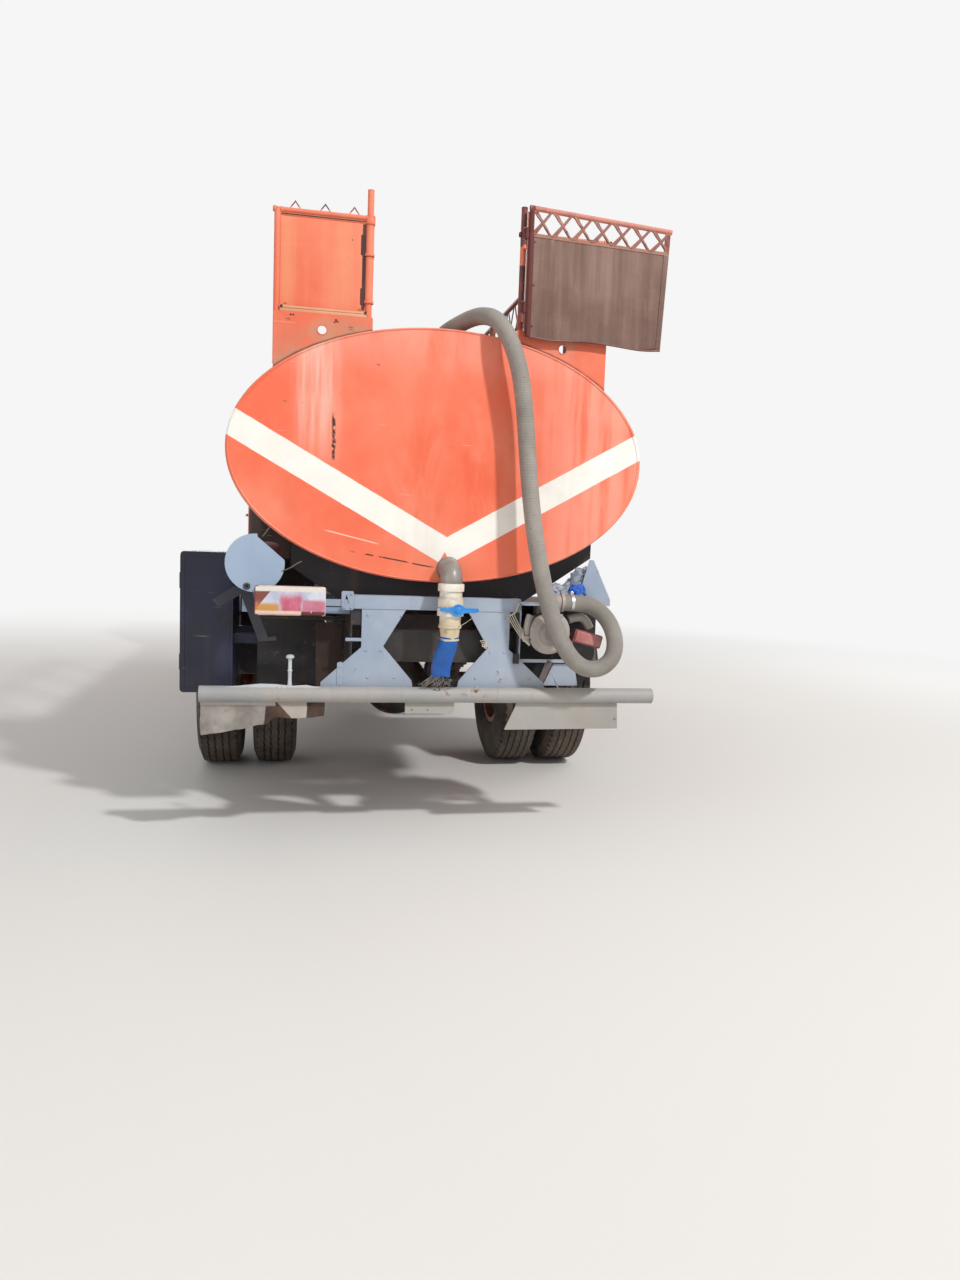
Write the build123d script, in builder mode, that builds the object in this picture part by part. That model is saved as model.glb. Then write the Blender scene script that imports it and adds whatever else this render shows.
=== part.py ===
from build123d import *
import os
from math import cos, pi, radians, sin, sqrt, tan

os.makedirs("parts", exist_ok=True)

# Overall sizes, millimetres. +Y is the front, +X the right side, Z = 0 the ground.
# Y = 0 is halfway between the outlet's handle at the back and the front bumper.
overall_length = 7300
tank_end_inset = 170
tank_end_to_axle = 1775
wheelbase = 4000
half_width = 1250

# Clearances between moving pieces, at seats and at shafts
gap = 6
seat = 0.3
shaft_gap = 0.3

# Water tank, an ellipse across, with a manhole and a fill pipe on its top
tank_half_width = 1003
tank_half_height = 599
tank_centre_z = 1865
tank_length = 5050
tank_edge = 6
manhole_from_end = 1700
manhole_radius = 240
manhole_depth = 320
neck_wall = 14
neck_height = 96
neck_flange = 34
lid_thickness = 18
lid_hinge_reach = 34
lid_knuckle = 12
fill_pipe_x = 49
fill_pipe_from_end = 520
fill_pipe_bend = 130

# Chassis
rail_outer_x = 415
rail_flange = 75
rail_wall = 8
rail_bottom = 830
rail_height = 230
runner_height = 71
cross_height = 160
cross_flange = 70
saddle_count = 6
saddle_plate = 10
saddle_width = 80

# Wheels and axles
tyre_radius = 526
tyre_width = 270
tread_width = 208
rim_seat_radius = 254
rim_flange_radius = 276
rim_width = 210
rim_wall = 9
bead_wall = 10
disc_wall = 9
hub_radius = 110
drum_radius = 200
dual_outer_x = 1110
dual_spacing = 335
kingpin_x = 840
front_wheel_x = 1010
spindle_radius = 42
axle_tube_radius = 68
axle_end_x = 705
kingpin_radius = 20
eye_radius = 42
chamber_radius = 65
chamber_rise = 114
eye_height = 92
ear_height = 42
arm_reach = 190
tie_rod_z = 400
beam_depth = 80

# Cab, a flat-fronted box over the front axle
cab_half_width = 1120
cab_length = 1660
cab_front_setback = 90
cab_bottom = 880
cab_top = 2680
cab_belt = 1900
cab_wall = 40
roof_line = 2560
screen_lean = 120
side_lean = 66
floor_bottom = 1180
floor_thickness = 40
hump_half_width = 370
hump_top = 1480
door_length = 1060
door_bottom = 1232
door_top = 2500
door_front_setback = 375
glass_thickness = 6
arch_radius = 620
grille_half_width = 520
grille_bottom = 960
grille_top = 1320
slat_count = 8

# Rack along each side of the tank's top, and the gate between the two
rack_inner_x = 365
rack_outer_x = 785
rack_length = 2600
rack_tube = 15
rack_top = 2935
rack_low_top = 2645
post_top = 3060
strip_height = 125
lattice_pitch = 134
lattice_bar = 8
lattice_depth = 5
sheet_thickness = 6
base_plate_top = 2485
sheet_bottom = 2503
gate_width = 672
gate_height = 591
gate_foot_drop = 22
gate_top_drop = 43
gate_lean = 25
gate_cells = 7
gate_tube = 12
gate_bottom = 2454
gate_sheet_height = 468
knuckle_radius = 11

# Back end
plate_thickness = 10
top_bar_half = 416
top_bar_height = 63
bumper_half = 1105
bumper_radius = 38
bumper_z = 722
bumper_wall = 4
shelf_z = 1165
shelf_end_x = 745
outlet_x = 49
outlet_z = 1331
outlet_reach = 100
outlet_radius = 53
collar_radius = 58
handle_thickness = 12
hose_radius = 41
tube_x = 864
tube_z = 1331
tube_radius = 100
disc_radius = 136
pump_x = 545
pump_z = 1035
pump_radius = 94
mudguard_clearance = 64
mudguard_thickness = 6

# Places worked out from the sizes above
front_y = overall_length / 2
tank_rear = -front_y + tank_end_inset
tank_front = tank_rear + tank_length
rear_axle_y = tank_rear + tank_end_to_axle
front_axle_y = rear_axle_y + wheelbase
axle_z = tyre_radius
rail_top = rail_bottom + rail_height
rail_web_x = rail_outer_x - rail_wall
rail_x = rail_outer_x - rail_flange / 2
runner_top = rail_top + runner_height
rail_rear = tank_rear - 2
plate_rear = rail_rear - plate_thickness
cab_front = front_y - cab_front_setback
cab_rear = cab_front - cab_length
rail_front = cab_front - 130
door_front = cab_front - door_front_setback
door_rear = door_front - door_length
floor_top = floor_bottom + floor_thickness
dual_inner_x = dual_outer_x - dual_spacing
dual_mid_x = (dual_outer_x + dual_inner_x) / 2
tank_top = tank_centre_z + tank_half_height
neck_top = tank_top + neck_height
manhole_y = tank_rear + manhole_from_end
bumper_y = plate_rear - seat - bumper_radius
outlet_y = tank_rear - outlet_reach
tank_place = (0, tank_centre_z)


def keep(piece, label):
    """Label a finished piece and write it."""
    piece.label = label
    export_step(piece, f"parts/{label}.step")


def tank_rise(x):
    """Height of the tank's skin above its centre line, at x from the middle."""
    return tank_half_height * sqrt(1 - (x / tank_half_width) ** 2)


def across(y):
    """The upright plane across the vehicle at y, its normal to the back."""
    return Plane.XZ.offset(-y)


def along(x):
    """The upright plane along the vehicle at x, its normal to the right."""
    return Plane.YZ.offset(x)


def brick(x, y, z, mode=Mode.ADD):
    """A block between three pairs of limits, in the part being built."""
    with Locations(((x[0] + x[1]) / 2, (y[0] + y[1]) / 2, (z[0] + z[1]) / 2)):
        return Box(x[1] - x[0], y[1] - y[0], z[1] - z[0], mode=mode)


def rod(start, end, radius, bore=0):
    """A round bar or tube between two points."""
    axis = Vector(*end) - Vector(*start)
    with BuildPart() as bar:
        with BuildSketch(Plane(origin=start, z_dir=axis)):
            Circle(radius)
            if bore:
                Circle(bore, mode=Mode.SUBTRACT)
        extrude(amount=axis.length)
    return bar.part


def turned(points, origin, axis, radial):
    """A solid of revolution from (distance along, radius) points."""
    normal = Vector(*axis).cross(Vector(*radial))
    with BuildPart() as solid:
        with BuildSketch(Plane(origin=origin, x_dir=axis, z_dir=normal)):
            with BuildLine():
                Polyline(*points, close=True)
            make_face()
        revolve(axis=Axis(origin, axis))
    return solid.part


def bent_pipe(points, radius, bends):
    """A round pipe along straight runs joined by arcs."""
    with BuildPart() as pipe:
        with BuildLine() as path:
            FilletPolyline(*points, radius=bends)
        with BuildSketch(Plane(origin=path.line @ 0, z_dir=path.line % 0)):
            Circle(radius)
        sweep()
    return pipe.part


def slab(points, plane, depth):
    """A flat piece of the given outline, thickened along its plane's normal."""
    with BuildPart() as flat:
        with BuildSketch(plane):
            Polygon(*points, align=None)
        extrude(amount=depth)
    return flat.part


def mirrored(piece):
    """The same piece on the other side of the vehicle."""
    return mirror(piece, about=Plane.YZ)


# Chassis frame: two channel rails, the channels between their webs and the flap's hanger
cross_places = (tank_rear + 120, tank_rear + 1150, rear_axle_y + 700, -150, 1250, rail_front - 130)
flap_y = tank_rear + 400
flap_bar_radius = 10
flap_bar_z = rail_top - 12
flap_bar_end = 872
flap_bar = rod((-rail_outer_x, flap_y, flap_bar_z), (-flap_bar_end, flap_y, flap_bar_z), flap_bar_radius)
cross_bottom = rail_bottom + (rail_height - cross_height) / 2
with BuildPart() as chassis_frame:
    with BuildSketch(across(rail_rear)):
        with BuildLine():
            Polyline(
                (rail_outer_x, rail_bottom),
                (rail_outer_x - rail_flange, rail_bottom),
                (rail_outer_x - rail_flange, rail_bottom + rail_wall),
                (rail_web_x, rail_bottom + rail_wall),
                (rail_web_x, rail_top - rail_wall),
                (rail_outer_x - rail_flange, rail_top - rail_wall),
                (rail_outer_x - rail_flange, rail_top),
                (rail_outer_x, rail_top),
                close=True,
            )
        make_face()
        mirror(about=Plane.YZ)
    extrude(amount=-(rail_front - rail_rear))
    with BuildSketch(along(-rail_web_x)):
        with Locations(*[(y, cross_bottom + cross_height / 2) for y in cross_places]):
            Rectangle(cross_flange, cross_height)
        with Locations(*[(y + rail_wall, cross_bottom + cross_height / 2) for y in cross_places]):
            Rectangle(cross_flange, cross_height - 2 * rail_wall, mode=Mode.SUBTRACT)
    extrude(amount=2 * rail_web_x)
    add(flap_bar)
keep(chassis_frame.part, "chassis_frame")

# Tank carrier: runners on the rails and cradle saddles up to the tank
saddle_step = (tank_length - 400) / (saddle_count - 1)
saddle_places = [tank_rear + 200 + saddle_step * i for i in range(saddle_count)]
saddle_left = 700
saddle_right = 830
saddle_elbow = (640, 1275)
saddle_slope = 0.684
saddle_top = 1560


def saddle_foot(reach):
    """The height of a saddle's lower edge at a distance from the middle, outside its elbow."""
    return saddle_elbow[1] + saddle_slope * (reach - saddle_elbow[0])


saddle_outline = [
    (-rail_outer_x, runner_top), (rail_outer_x, runner_top), saddle_elbow,
    (saddle_right, saddle_foot(saddle_right)), (saddle_right, saddle_top),
    (-saddle_left, saddle_top), (-saddle_left, saddle_foot(saddle_left)),
    (-saddle_elbow[0], saddle_elbow[1]),
]
with BuildPart() as tank_carrier:
    for side in (-1, 1):
        brick(sorted((side * (rail_outer_x - rail_flange), side * rail_outer_x)),
              (rail_rear, tank_front - 60), (rail_top, runner_top))
    for y in saddle_places:
        with BuildSketch(across(y + saddle_plate / 2)) as web:
            Polygon(*saddle_outline, align=None)
            with Locations(tank_place):
                Ellipse(tank_half_width + seat, tank_half_height + seat, mode=Mode.SUBTRACT)
        extrude(amount=saddle_plate)
        with BuildSketch(across(y + saddle_width / 2)) as flange:
            with Locations(tank_place):
                Ellipse(tank_half_width + saddle_plate, tank_half_height + saddle_plate)
                Ellipse(tank_half_width + seat, tank_half_height + seat, mode=Mode.SUBTRACT)
            with Locations(((saddle_right - saddle_left) / 2, saddle_top - 400)):
                Rectangle(saddle_right + saddle_left - 30, 800, mode=Mode.INTERSECT)
        extrude(amount=saddle_width)
keep(tank_carrier.part, "tank_carrier")

# Tank barrel with flat ends and the well under its manhole
with BuildPart() as tank_shell:
    with BuildSketch(across(tank_rear)):
        with Locations(tank_place):
            Ellipse(tank_half_width, tank_half_height)
    extrude(amount=-tank_length)
    chamfer(tank_shell.edges().group_by(Axis.Y)[0], tank_edge)
    chamfer(tank_shell.edges().group_by(Axis.Y)[-1], tank_edge)
    with Locations((0, manhole_y, tank_top - manhole_depth / 2 + 1)):
        Cylinder(manhole_radius, manhole_depth, mode=Mode.SUBTRACT)
keep(tank_shell.part, "tank_shell")

# Manhole neck with its hinge ears, and the fill pipe that the hose is pushed on to
lid_axis_y = manhole_y + manhole_radius + neck_wall + neck_flange + lid_hinge_reach - 20
lid_axis_z = neck_top + lid_knuckle
ear_inner = 42
ear_outer = 72
fill_pipe_end = tank_rear + fill_pipe_from_end
fill_pipe_z = tank_top + 60
fill_pipe_y = fill_pipe_end + fill_pipe_bend
fill_path = [
    (fill_pipe_x, fill_pipe_end, fill_pipe_z),
    (fill_pipe_x, fill_pipe_y, fill_pipe_z),
    (fill_pipe_x, fill_pipe_y, tank_top - 100),
]
fill_pipe = bent_pipe(fill_path, hose_radius, 50)
with BuildPart() as tank_fittings:
    with Locations((0, manhole_y, neck_top - 100)):
        Cylinder(manhole_radius + neck_wall, 200)
    with Locations((0, manhole_y, neck_top - neck_wall / 2)):
        Cylinder(manhole_radius + neck_wall + neck_flange, neck_wall)
    with Locations((0, manhole_y, neck_top - 100)):
        Cylinder(manhole_radius, 210, mode=Mode.SUBTRACT)
    for side in (-1, 1):
        brick(sorted((side * ear_inner, side * ear_outer)),
              (manhole_y + manhole_radius + neck_wall + 10, lid_axis_y),
              (neck_top - neck_wall, neck_top - 1))
        ends = [(side * x, lid_axis_y, lid_axis_z) for x in (ear_inner, ear_outer)]
        add(rod(*ends, lid_knuckle))
        brick(sorted((side * ear_inner, side * ear_outer)),
              (lid_axis_y - lid_knuckle, lid_axis_y + lid_knuckle), (neck_top - neck_wall, lid_axis_z))
    add(fill_pipe)
    collar = [(fill_pipe_x, fill_pipe_end + y, fill_pipe_z) for y in (6, 26)]
    add(rod(*collar, hose_radius + 8))
    with BuildSketch(across(tank_rear)):
        with Locations(tank_place):
            Ellipse(tank_half_width + seat, tank_half_height + seat)
    extrude(amount=-tank_length, mode=Mode.SUBTRACT)
keep(tank_fittings.part, "tank_fittings")

# Manhole lid, hinged at its front
lid_radius = manhole_radius + neck_wall + neck_flange - 6
with BuildPart() as manhole_lid:
    with Locations((0, manhole_y, neck_top + seat + lid_thickness / 2)):
        Cylinder(lid_radius, lid_thickness)
    with Locations((0, manhole_y, neck_top + seat + lid_thickness + 8)):
        Cone(lid_radius - 30, lid_radius - 70, 16)
    brick((-ear_inner + seat, ear_inner - seat), (manhole_y + lid_radius - 30, lid_axis_y),
          (neck_top + seat, neck_top + seat + lid_thickness))
    barrel = [(x, lid_axis_y, lid_axis_z) for x in (seat - ear_inner, ear_inner - seat)]
    add(rod(*barrel, lid_knuckle - seat))
keep(manhole_lid.part, "manhole_lid")


def lattice(length, height):
    """A strip of crossed flat bars, as a face from the corner (0, 0)."""
    cells = max(1, round(length / lattice_pitch))
    pitch = length / cells
    with BuildSketch(Plane.XY) as strip:
        for i in range(cells):
            left = pitch * i
            for low, high in ((0, height), (height, 0)):
                Polygon((left, low), (left + lattice_bar, low),
                        (left + pitch, high), (left + pitch - lattice_bar, high), align=None)
    return strip.sketch


def lattice_strip(origin, x_dir, normal, length, height):
    """A lattice strip with its lower corner at origin, standing along x_dir."""
    face = lattice(length, height)
    return extrude(Plane(origin=origin, x_dir=x_dir, z_dir=normal) * face, amount=lattice_depth)


# Racks: posts, rails and lattice walls along each side of the tank's top
rack_rear = tank_rear + sheet_thickness + seat + 2 + rack_tube
rack_front = rack_rear + rack_length
rack_feet = {x: tank_centre_z + tank_rise(x - rack_tube) + seat for x in (rack_inner_x, rack_outer_x)}
inner_low = rack_feet[rack_inner_x] + 28
outer_low = rack_top - strip_height
# x, y, z at the top of each post
posts = [
    (rack_inner_x, rack_rear, post_top),
    (rack_outer_x, rack_rear, rack_top),
    (rack_inner_x, rack_front, rack_top),
    (rack_outer_x, rack_front, rack_top),
]
posts += [(rack_inner_x, rack_rear + rack_length * i / 4, rack_low_top) for i in (1, 2, 3)]
posts += [(rack_outer_x, rack_rear + rack_length * i / 4, rack_top) for i in (1, 2, 3)]
# the two ends of each rail
rails = [
    ((rack_inner_x, rack_rear, rack_top), (rack_outer_x, rack_rear, rack_top)),
    ((rack_inner_x, rack_front, rack_top), (rack_outer_x, rack_front, rack_top)),
    ((rack_outer_x, rack_rear, rack_top), (rack_outer_x, rack_front, rack_top)),
    ((rack_outer_x, rack_rear, outer_low), (rack_outer_x, rack_front, outer_low)),
    ((rack_inner_x, rack_rear, rack_low_top), (rack_inner_x, rack_front, rack_low_top)),
    ((rack_inner_x, rack_rear, inner_low), (rack_inner_x, rack_front, inner_low)),
]
gate_axis_x = rack_inner_x
gate_axis_y = tank_rear - 12
gate_hinges = (gate_bottom + 110, gate_bottom + 450)
left_barrels = [(2556, 2754), (2770, 2900)]
wire_places = (-707, -572, -440)
wire_peak = [(-34, 0), (-28, 0), (0, 37), (28, 0), (34, 0), (0, 45)]
barrel_radius = rack_tube + 4
post_knuckle = 44
knuckle_height = 50
rack_bars = [rod((x, y, rack_feet[x]), (x, y, top), rack_tube) for x, y, top in posts]
rack_bars += [rod(start, end, 11) for start, end in rails]
# x, foot and height of the lattice walls
walls = [(rack_outer_x, outer_low, strip_height), (rack_inner_x, inner_low, rack_low_top - inner_low)]
rack_strips = [
    lattice_strip((x - lattice_depth / 2, rack_rear, foot), (0, 1, 0), (1, 0, 0), rack_length, height)
    for x, foot, height in walls
]
with BuildPart() as rack:
    add(rack_bars)
    add(rack_strips)
with BuildPart() as hose_racks:
    add(rack.part)
    add(mirrored(rack.part))
    for z in gate_hinges:
        with Locations((gate_axis_x, gate_axis_y, z - post_knuckle / 2)):
            Cylinder(knuckle_radius, post_knuckle)
        brick((gate_axis_x - 4, gate_axis_x + 4), (gate_axis_y, rack_rear), (z - post_knuckle, z))
    for low, high in left_barrels:
        add(rod((-rack_inner_x, rack_rear, low), (-rack_inner_x, rack_rear, high), barrel_radius))
    for x in wire_places:
        add(slab([(x + dx, rack_top + dz) for dx, dz in wire_peak], across(rack_rear + 3), 6))
keep(hose_racks.part, "hose_racks")

# End plates of the racks: a base plate on each side and the closed sheet on the left
end_plate_y = rack_rear - rack_tube - seat
hole_x = 577
hole_z = 2412
end_hole_radius = 20
with BuildPart() as rack_end_plates:
    with BuildSketch(across(end_plate_y)):
        with Locations(((rack_inner_x - 20 + rack_outer_x + 12) / 2, base_plate_top - 150)):
            Rectangle(rack_outer_x - rack_inner_x + 32, 300)
        with Locations((hole_x, hole_z)):
            Circle(end_hole_radius, mode=Mode.SUBTRACT)
        mirror(about=Plane.YZ)
        with Locations(tank_place):
            Ellipse(tank_half_width + seat, tank_half_height + seat, mode=Mode.SUBTRACT)
    extrude(amount=sheet_thickness)
    brick((-rack_outer_x + rack_tube, -rack_inner_x - rack_tube),
          (rack_rear - sheet_thickness / 2, rack_rear + sheet_thickness / 2),
          (sheet_bottom, rack_top - 11))
    for low, high in left_barrels:
        brick((-rack_inner_x - barrel_radius - seat, -rack_inner_x),
              (rack_rear - sheet_thickness, rack_rear + sheet_thickness),
              (low - seat, high + seat), mode=Mode.SUBTRACT)
keep(rack_end_plates.part, "rack_end_plates")

# Gate: hinged behind the right rack's post and hanging open across the rack's end, its far side sunk
gate_plane_y = gate_axis_y - 16
gate_edge = 25
gate_far_rise = 14


def gate_point(u, v):
    """A point of the gate, u along it from its hinge side and v up from its foot."""
    far = u / gate_width
    high = v / gate_height
    drop = gate_foot_drop + (gate_top_drop - gate_foot_drop) * high
    return (
        gate_axis_x + gate_edge + u + gate_lean * far * high,
        gate_plane_y,
        gate_bottom + v - drop * far,
    )


def gate_flat(outline, depth):
    """A flat part of the gate, its outline as u, v places."""
    points = [gate_point(u, v)[::2] for u, v in outline]
    return slab(points, across(gate_plane_y + sheet_thickness / 2), depth)


def sheet_top(u):
    """The height of the gate's sheet at u, where the lattice starts."""
    return gate_sheet_height + gate_far_rise * u / gate_width


gate_pitch = gate_width / gate_cells
gate_bars = [
    rod(gate_point(0, 0), gate_point(0, gate_height), gate_tube),
    rod(gate_point(-4, gate_height), gate_point(gate_width + 6, gate_height), gate_tube),
]
with BuildPart() as gate:
    add(gate_flat([(0, 0), (120, -7), (gate_width / 2, 6), (gate_width - 150, -3), (gate_width, 6),
                   (gate_width, sheet_top(gate_width)), (0, sheet_top(0))], sheet_thickness))
    add(gate_flat([(gate_width - 24, 0), (gate_width, 0), (gate_width, gate_height),
                   (gate_width - 24, gate_height)], sheet_thickness + 3))
    add(gate_flat([(0, sheet_top(0) - 8), (gate_width, sheet_top(gate_width) - 8),
                   (gate_width, sheet_top(gate_width) + 8), (0, sheet_top(0) + 8)], sheet_thickness + 3))
    for i in range(gate_cells):
        near = gate_pitch * i
        far = gate_pitch * (i + 1)
        add(gate_flat([(near, sheet_top(near)), (near + lattice_bar, sheet_top(near)),
                       (far, gate_height), (far - lattice_bar, gate_height)], lattice_depth))
        add(gate_flat([(near, gate_height), (near + lattice_bar, gate_height),
                       (far, sheet_top(far)), (far - lattice_bar, sheet_top(far))], lattice_depth))
    add(gate_bars)
    for z in gate_hinges:
        with Locations((gate_axis_x, gate_axis_y, z + seat + knuckle_height / 2)):
            Cylinder(knuckle_radius, knuckle_height)
        brick((gate_axis_x, gate_axis_x + gate_edge), (gate_plane_y - 2, gate_axis_y + 2),
              (z + seat, z + seat + knuckle_height))
keep(gate.part, "gate")

# Rear frame: the top bar, the two waisted plates down to the bumper, the pump's shelf and its stays
waist_plate = [
    (151, runner_top), (363, runner_top), (363, 945), (552, 774),
    (552, 700), (100, 700), (117, 787), (258, 951),
]
leg_x = top_bar_half
flat_bar_end = 696
lamp_stay_width = 12
fin_outline = [(700, shelf_z + 6), (765, 1399), (785, 1399), (881, 1202), (881, shelf_z + 6)]
with BuildPart() as rear_frame:
    brick((-top_bar_half, top_bar_half), (plate_rear, tank_rear + 60), (runner_top, runner_top + top_bar_height))
    brick((-top_bar_half, top_bar_half), (plate_rear + 6, tank_rear + 54),
          (runner_top + 6, runner_top + top_bar_height - 6), mode=Mode.SUBTRACT)
    with BuildSketch(across(rail_rear)):
        Polygon(*waist_plate, align=None)
        mirror(about=Plane.YZ)
    extrude(amount=plate_thickness)
    brick((leg_x, shelf_end_x), (tank_rear - 25, tank_rear + 185), (shelf_z, shelf_z + 6))
    brick((leg_x, leg_x + 8), (tank_rear, tank_rear + 185), (rail_bottom, shelf_z))
    brick((leg_x + 8, flat_bar_end), (tank_rear, tank_rear + 8), (880, 896))
    brick((flat_bar_end - lamp_stay_width, flat_bar_end), (tank_rear, tank_rear + 8), (896, 1030))
    add(slab([(leg_x + 8, shelf_z), (640, shelf_z), (leg_x + 8, 960)], across(tank_rear + 185), 8))
    add(slab([(560, 880), (596, 880), (535, 745), (505, 745)], across(tank_rear + 8), 8))
    add(slab(fin_outline, across(tank_rear + 5), 5))
    brick((-600, -top_bar_half), (plate_rear, plate_rear + 8), (1140, 1172))
keep(rear_frame.part, "rear_frame")

# Bumper tube across the back
bumper_ends = [(x, bumper_y, bumper_z) for x in (-bumper_half, bumper_half)]
keep(rod(*bumper_ends, bumper_radius, bumper_radius - bumper_wall), "rear_bumper")

# Plates under the bumper tube: the number plate's bracket and a grey plate on the right
under_z = bumper_z - bumper_radius - seat
plate_hole_z = 649
plate_holes = (-116, -39)
plate_hole_radius = 5
with BuildPart() as under_plates:
    with BuildSketch(across(bumper_y + 2.5)):
        with Locations(((-149 + 91) / 2, (under_z + 630) / 2)):
            Rectangle(91 + 149, under_z - 630)
        with Locations(*[(x, plate_hole_z) for x in plate_holes]):
            Circle(plate_hole_radius, mode=Mode.SUBTRACT)
        Polygon((406, under_z), (926, under_z), (933, 555), (346, 550), align=None)
    extrude(amount=5)
keep(under_plates.part, "under_plates")

# Cloth flap under the bumper's left half
flap_outline = [
    (-1100, under_z), (-532, under_z), (-532, 616), (-763, 612), (-797, 580), (-1102, 528),
]
keep(slab(flap_outline, across(bumper_y + 4), 8), "cloth_flap")

# Rubber flap behind the left wheels
with BuildPart() as mud_flap:
    brick((-859, -557), (flap_y - 4, flap_y + 4), (708, flap_bar_z - flap_bar_radius - seat))
keep(mud_flap.part, "mud_flap")

# Lamps: two at the back and two round ones at the front
headlamp_x = 830
headlamp_z = 1080
headlamp_radius = 98
left_lamp_x = 700
left_lamp_half = 161
left_lamp_depth = 72
right_lamp_lean = radians(14)
with BuildPart() as tail_lamp_left:
    brick((-left_lamp_x - left_lamp_half, -left_lamp_x + left_lamp_half),
          (plate_rear - seat - left_lamp_depth, plate_rear - seat), (1096, 1230))
    fillet(tail_lamp_left.edges().filter_by(Axis.Y), 14)
with BuildPart() as tail_lamp_right:
    lean = (cos(right_lamp_lean), 0, -sin(right_lamp_lean))
    with BuildSketch(Plane(origin=(755, tank_rear - seat, 1008), x_dir=lean, z_dir=(0, -1, 0))):
        RectangleRounded(146, 66, 10)
    extrude(amount=58)
lamp_profile = [
    (0, 0), (0, headlamp_radius), (12, headlamp_radius), (16, headlamp_radius - 12),
    (24, headlamp_radius - 50), (27, 0),
]
headlamp = turned(lamp_profile, (headlamp_x, cab_front + seat, headlamp_z), (0, 1, 0), (0, 0, 1))
with BuildPart() as lamps:
    add(tail_lamp_left.part)
    add(tail_lamp_right.part)
    add(headlamp)
    add(mirrored(headlamp))
keep(lamps.part, "lamps")

# Round carrier tube along the tank's left foot, with its end disc and the arms that hold it
tube_length = 4300
disc_hole_place = (-900, 1222)
disc_hole_radius = 9
arm_places = [tank_rear + 100, tank_rear + 1300, tank_rear + 2700, tank_rear + 4100]
arm_top = runner_top - 4
with BuildPart() as carrier_tube:
    add(rod((-tube_x, tank_rear - 8, tube_z), (-tube_x, tank_rear + tube_length, tube_z), tube_radius))
    with BuildSketch(across(tank_rear)):
        with Locations((-tube_x, tube_z)):
            Circle(disc_radius)
        Polygon((-854, 1454), (-700, 1324), (-700, 1500), (-854, 1500), align=None, mode=Mode.SUBTRACT)
        with Locations(disc_hole_place):
            Circle(disc_hole_radius, mode=Mode.SUBTRACT)
    extrude(amount=8)
    for y in arm_places:
        brick((-tube_x - 60, -rail_outer_x), (y - 20, y + 20), (arm_top - 30, arm_top))
        brick((-tube_x - 60, -tube_x + 60), (y - 6, y + 6), (arm_top, tube_z))
keep(carrier_tube.part, "carrier_tube")

# Side boxes: the tall locker behind the left wheels and the battery box ahead of them
with BuildPart() as locker:
    brick((-1245, -985), (tank_rear + 450, tank_rear + 1100), (650, 1370))
    fillet(locker.edges().filter_by(Axis.Y), 18)
with BuildPart() as battery_box:
    brick((-900, -440), (-300, 300), (600, 950))
    fillet(battery_box.edges().filter_by(Axis.Y), 25)
with BuildPart() as side_boxes:
    add(locker.part)
    brick((-985, -rail_outer_x), (tank_rear + 520, tank_rear + 570), (900, 950))
    brick((-985, -rail_outer_x), (tank_rear + 980, tank_rear + 1030), (900, 950))
    add(battery_box.part)
    brick((-440, -rail_outer_x), (-240, -200), (860, 930))
    brick((-440, -rail_outer_x), (200, 240), (860, 930))
keep(side_boxes.part, "side_boxes")

# Mudguards over the rear wheels, each on two stays from its rail
guard_inner = tyre_radius + mudguard_clearance
guard_outer = guard_inner + mudguard_thickness
guard_x = 628
guard_foot = axle_z + 120
stay_radius = 14
stay_reach = 380
stay_z = axle_z + sqrt(guard_outer**2 - stay_reach**2) + stay_radius
with BuildPart() as guard:
    with BuildSketch(along(guard_x)):
        with Locations((rear_axle_y, axle_z)):
            Circle(guard_outer)
            Circle(guard_inner, mode=Mode.SUBTRACT)
        with Locations((rear_axle_y, guard_foot - guard_outer)):
            Rectangle(2.2 * guard_outer, 2 * guard_outer, mode=Mode.SUBTRACT)
    extrude(amount=half_width - guard_x)
    with BuildSketch(along(half_width - 5)):
        with Locations((rear_axle_y, axle_z)):
            Circle(guard_outer)
            Circle(guard_inner - 26, mode=Mode.SUBTRACT)
        with Locations((rear_axle_y, guard_foot - guard_outer)):
            Rectangle(2.2 * guard_outer, 2 * guard_outer, mode=Mode.SUBTRACT)
    extrude(amount=5)
    for side in (-1, 1):
        stay_y = rear_axle_y + side * stay_reach
        add(rod((rail_outer_x, stay_y, stay_z), (half_width - 60, stay_y, stay_z), stay_radius))
with BuildPart() as rear_mudguards:
    add(guard.part)
    add(mirrored(guard.part))
keep(rear_mudguards.part, "rear_mudguards")

# Outlet: an elbow out of the tank's end, its couplings and valve, turned about the pipe's axis
outlet_path = [
    (outlet_x, tank_rear - seat, outlet_z),
    (outlet_x, outlet_y, outlet_z),
    (outlet_x, outlet_y, outlet_z - 70),
]
outlet_foot = 987
valve_profile = [
    (0, 0), (0, outlet_radius + 1), (-68, outlet_radius + 1), (-68, collar_radius), (-110, collar_radius),
    (-110, outlet_radius - 2), (-196, outlet_radius - 2), (outlet_foot - outlet_z + 70, hose_radius),
    (outlet_foot - outlet_z + 70, 0),
]
outlet_elbow = bent_pipe(outlet_path, outlet_radius, 62)
outlet_valve = turned(valve_profile, (outlet_x, outlet_y, outlet_z - 66), (0, 0, 1), (1, 0, 0))
with BuildPart() as outlet_pipe:
    add(outlet_elbow)
    add(outlet_valve)
keep(outlet_pipe.part, "outlet_pipe")

# Flat blue handle of the outlet's valve
handle_z = 1143
handle_rear = -front_y
with BuildPart() as valve_handle:
    with BuildSketch(across(handle_rear + handle_thickness)):
        with Locations((85, handle_z)):
            RectangleRounded(180, 28, 10)
    extrude(amount=handle_thickness)
keep(valve_handle.part, "valve_handle")

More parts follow.
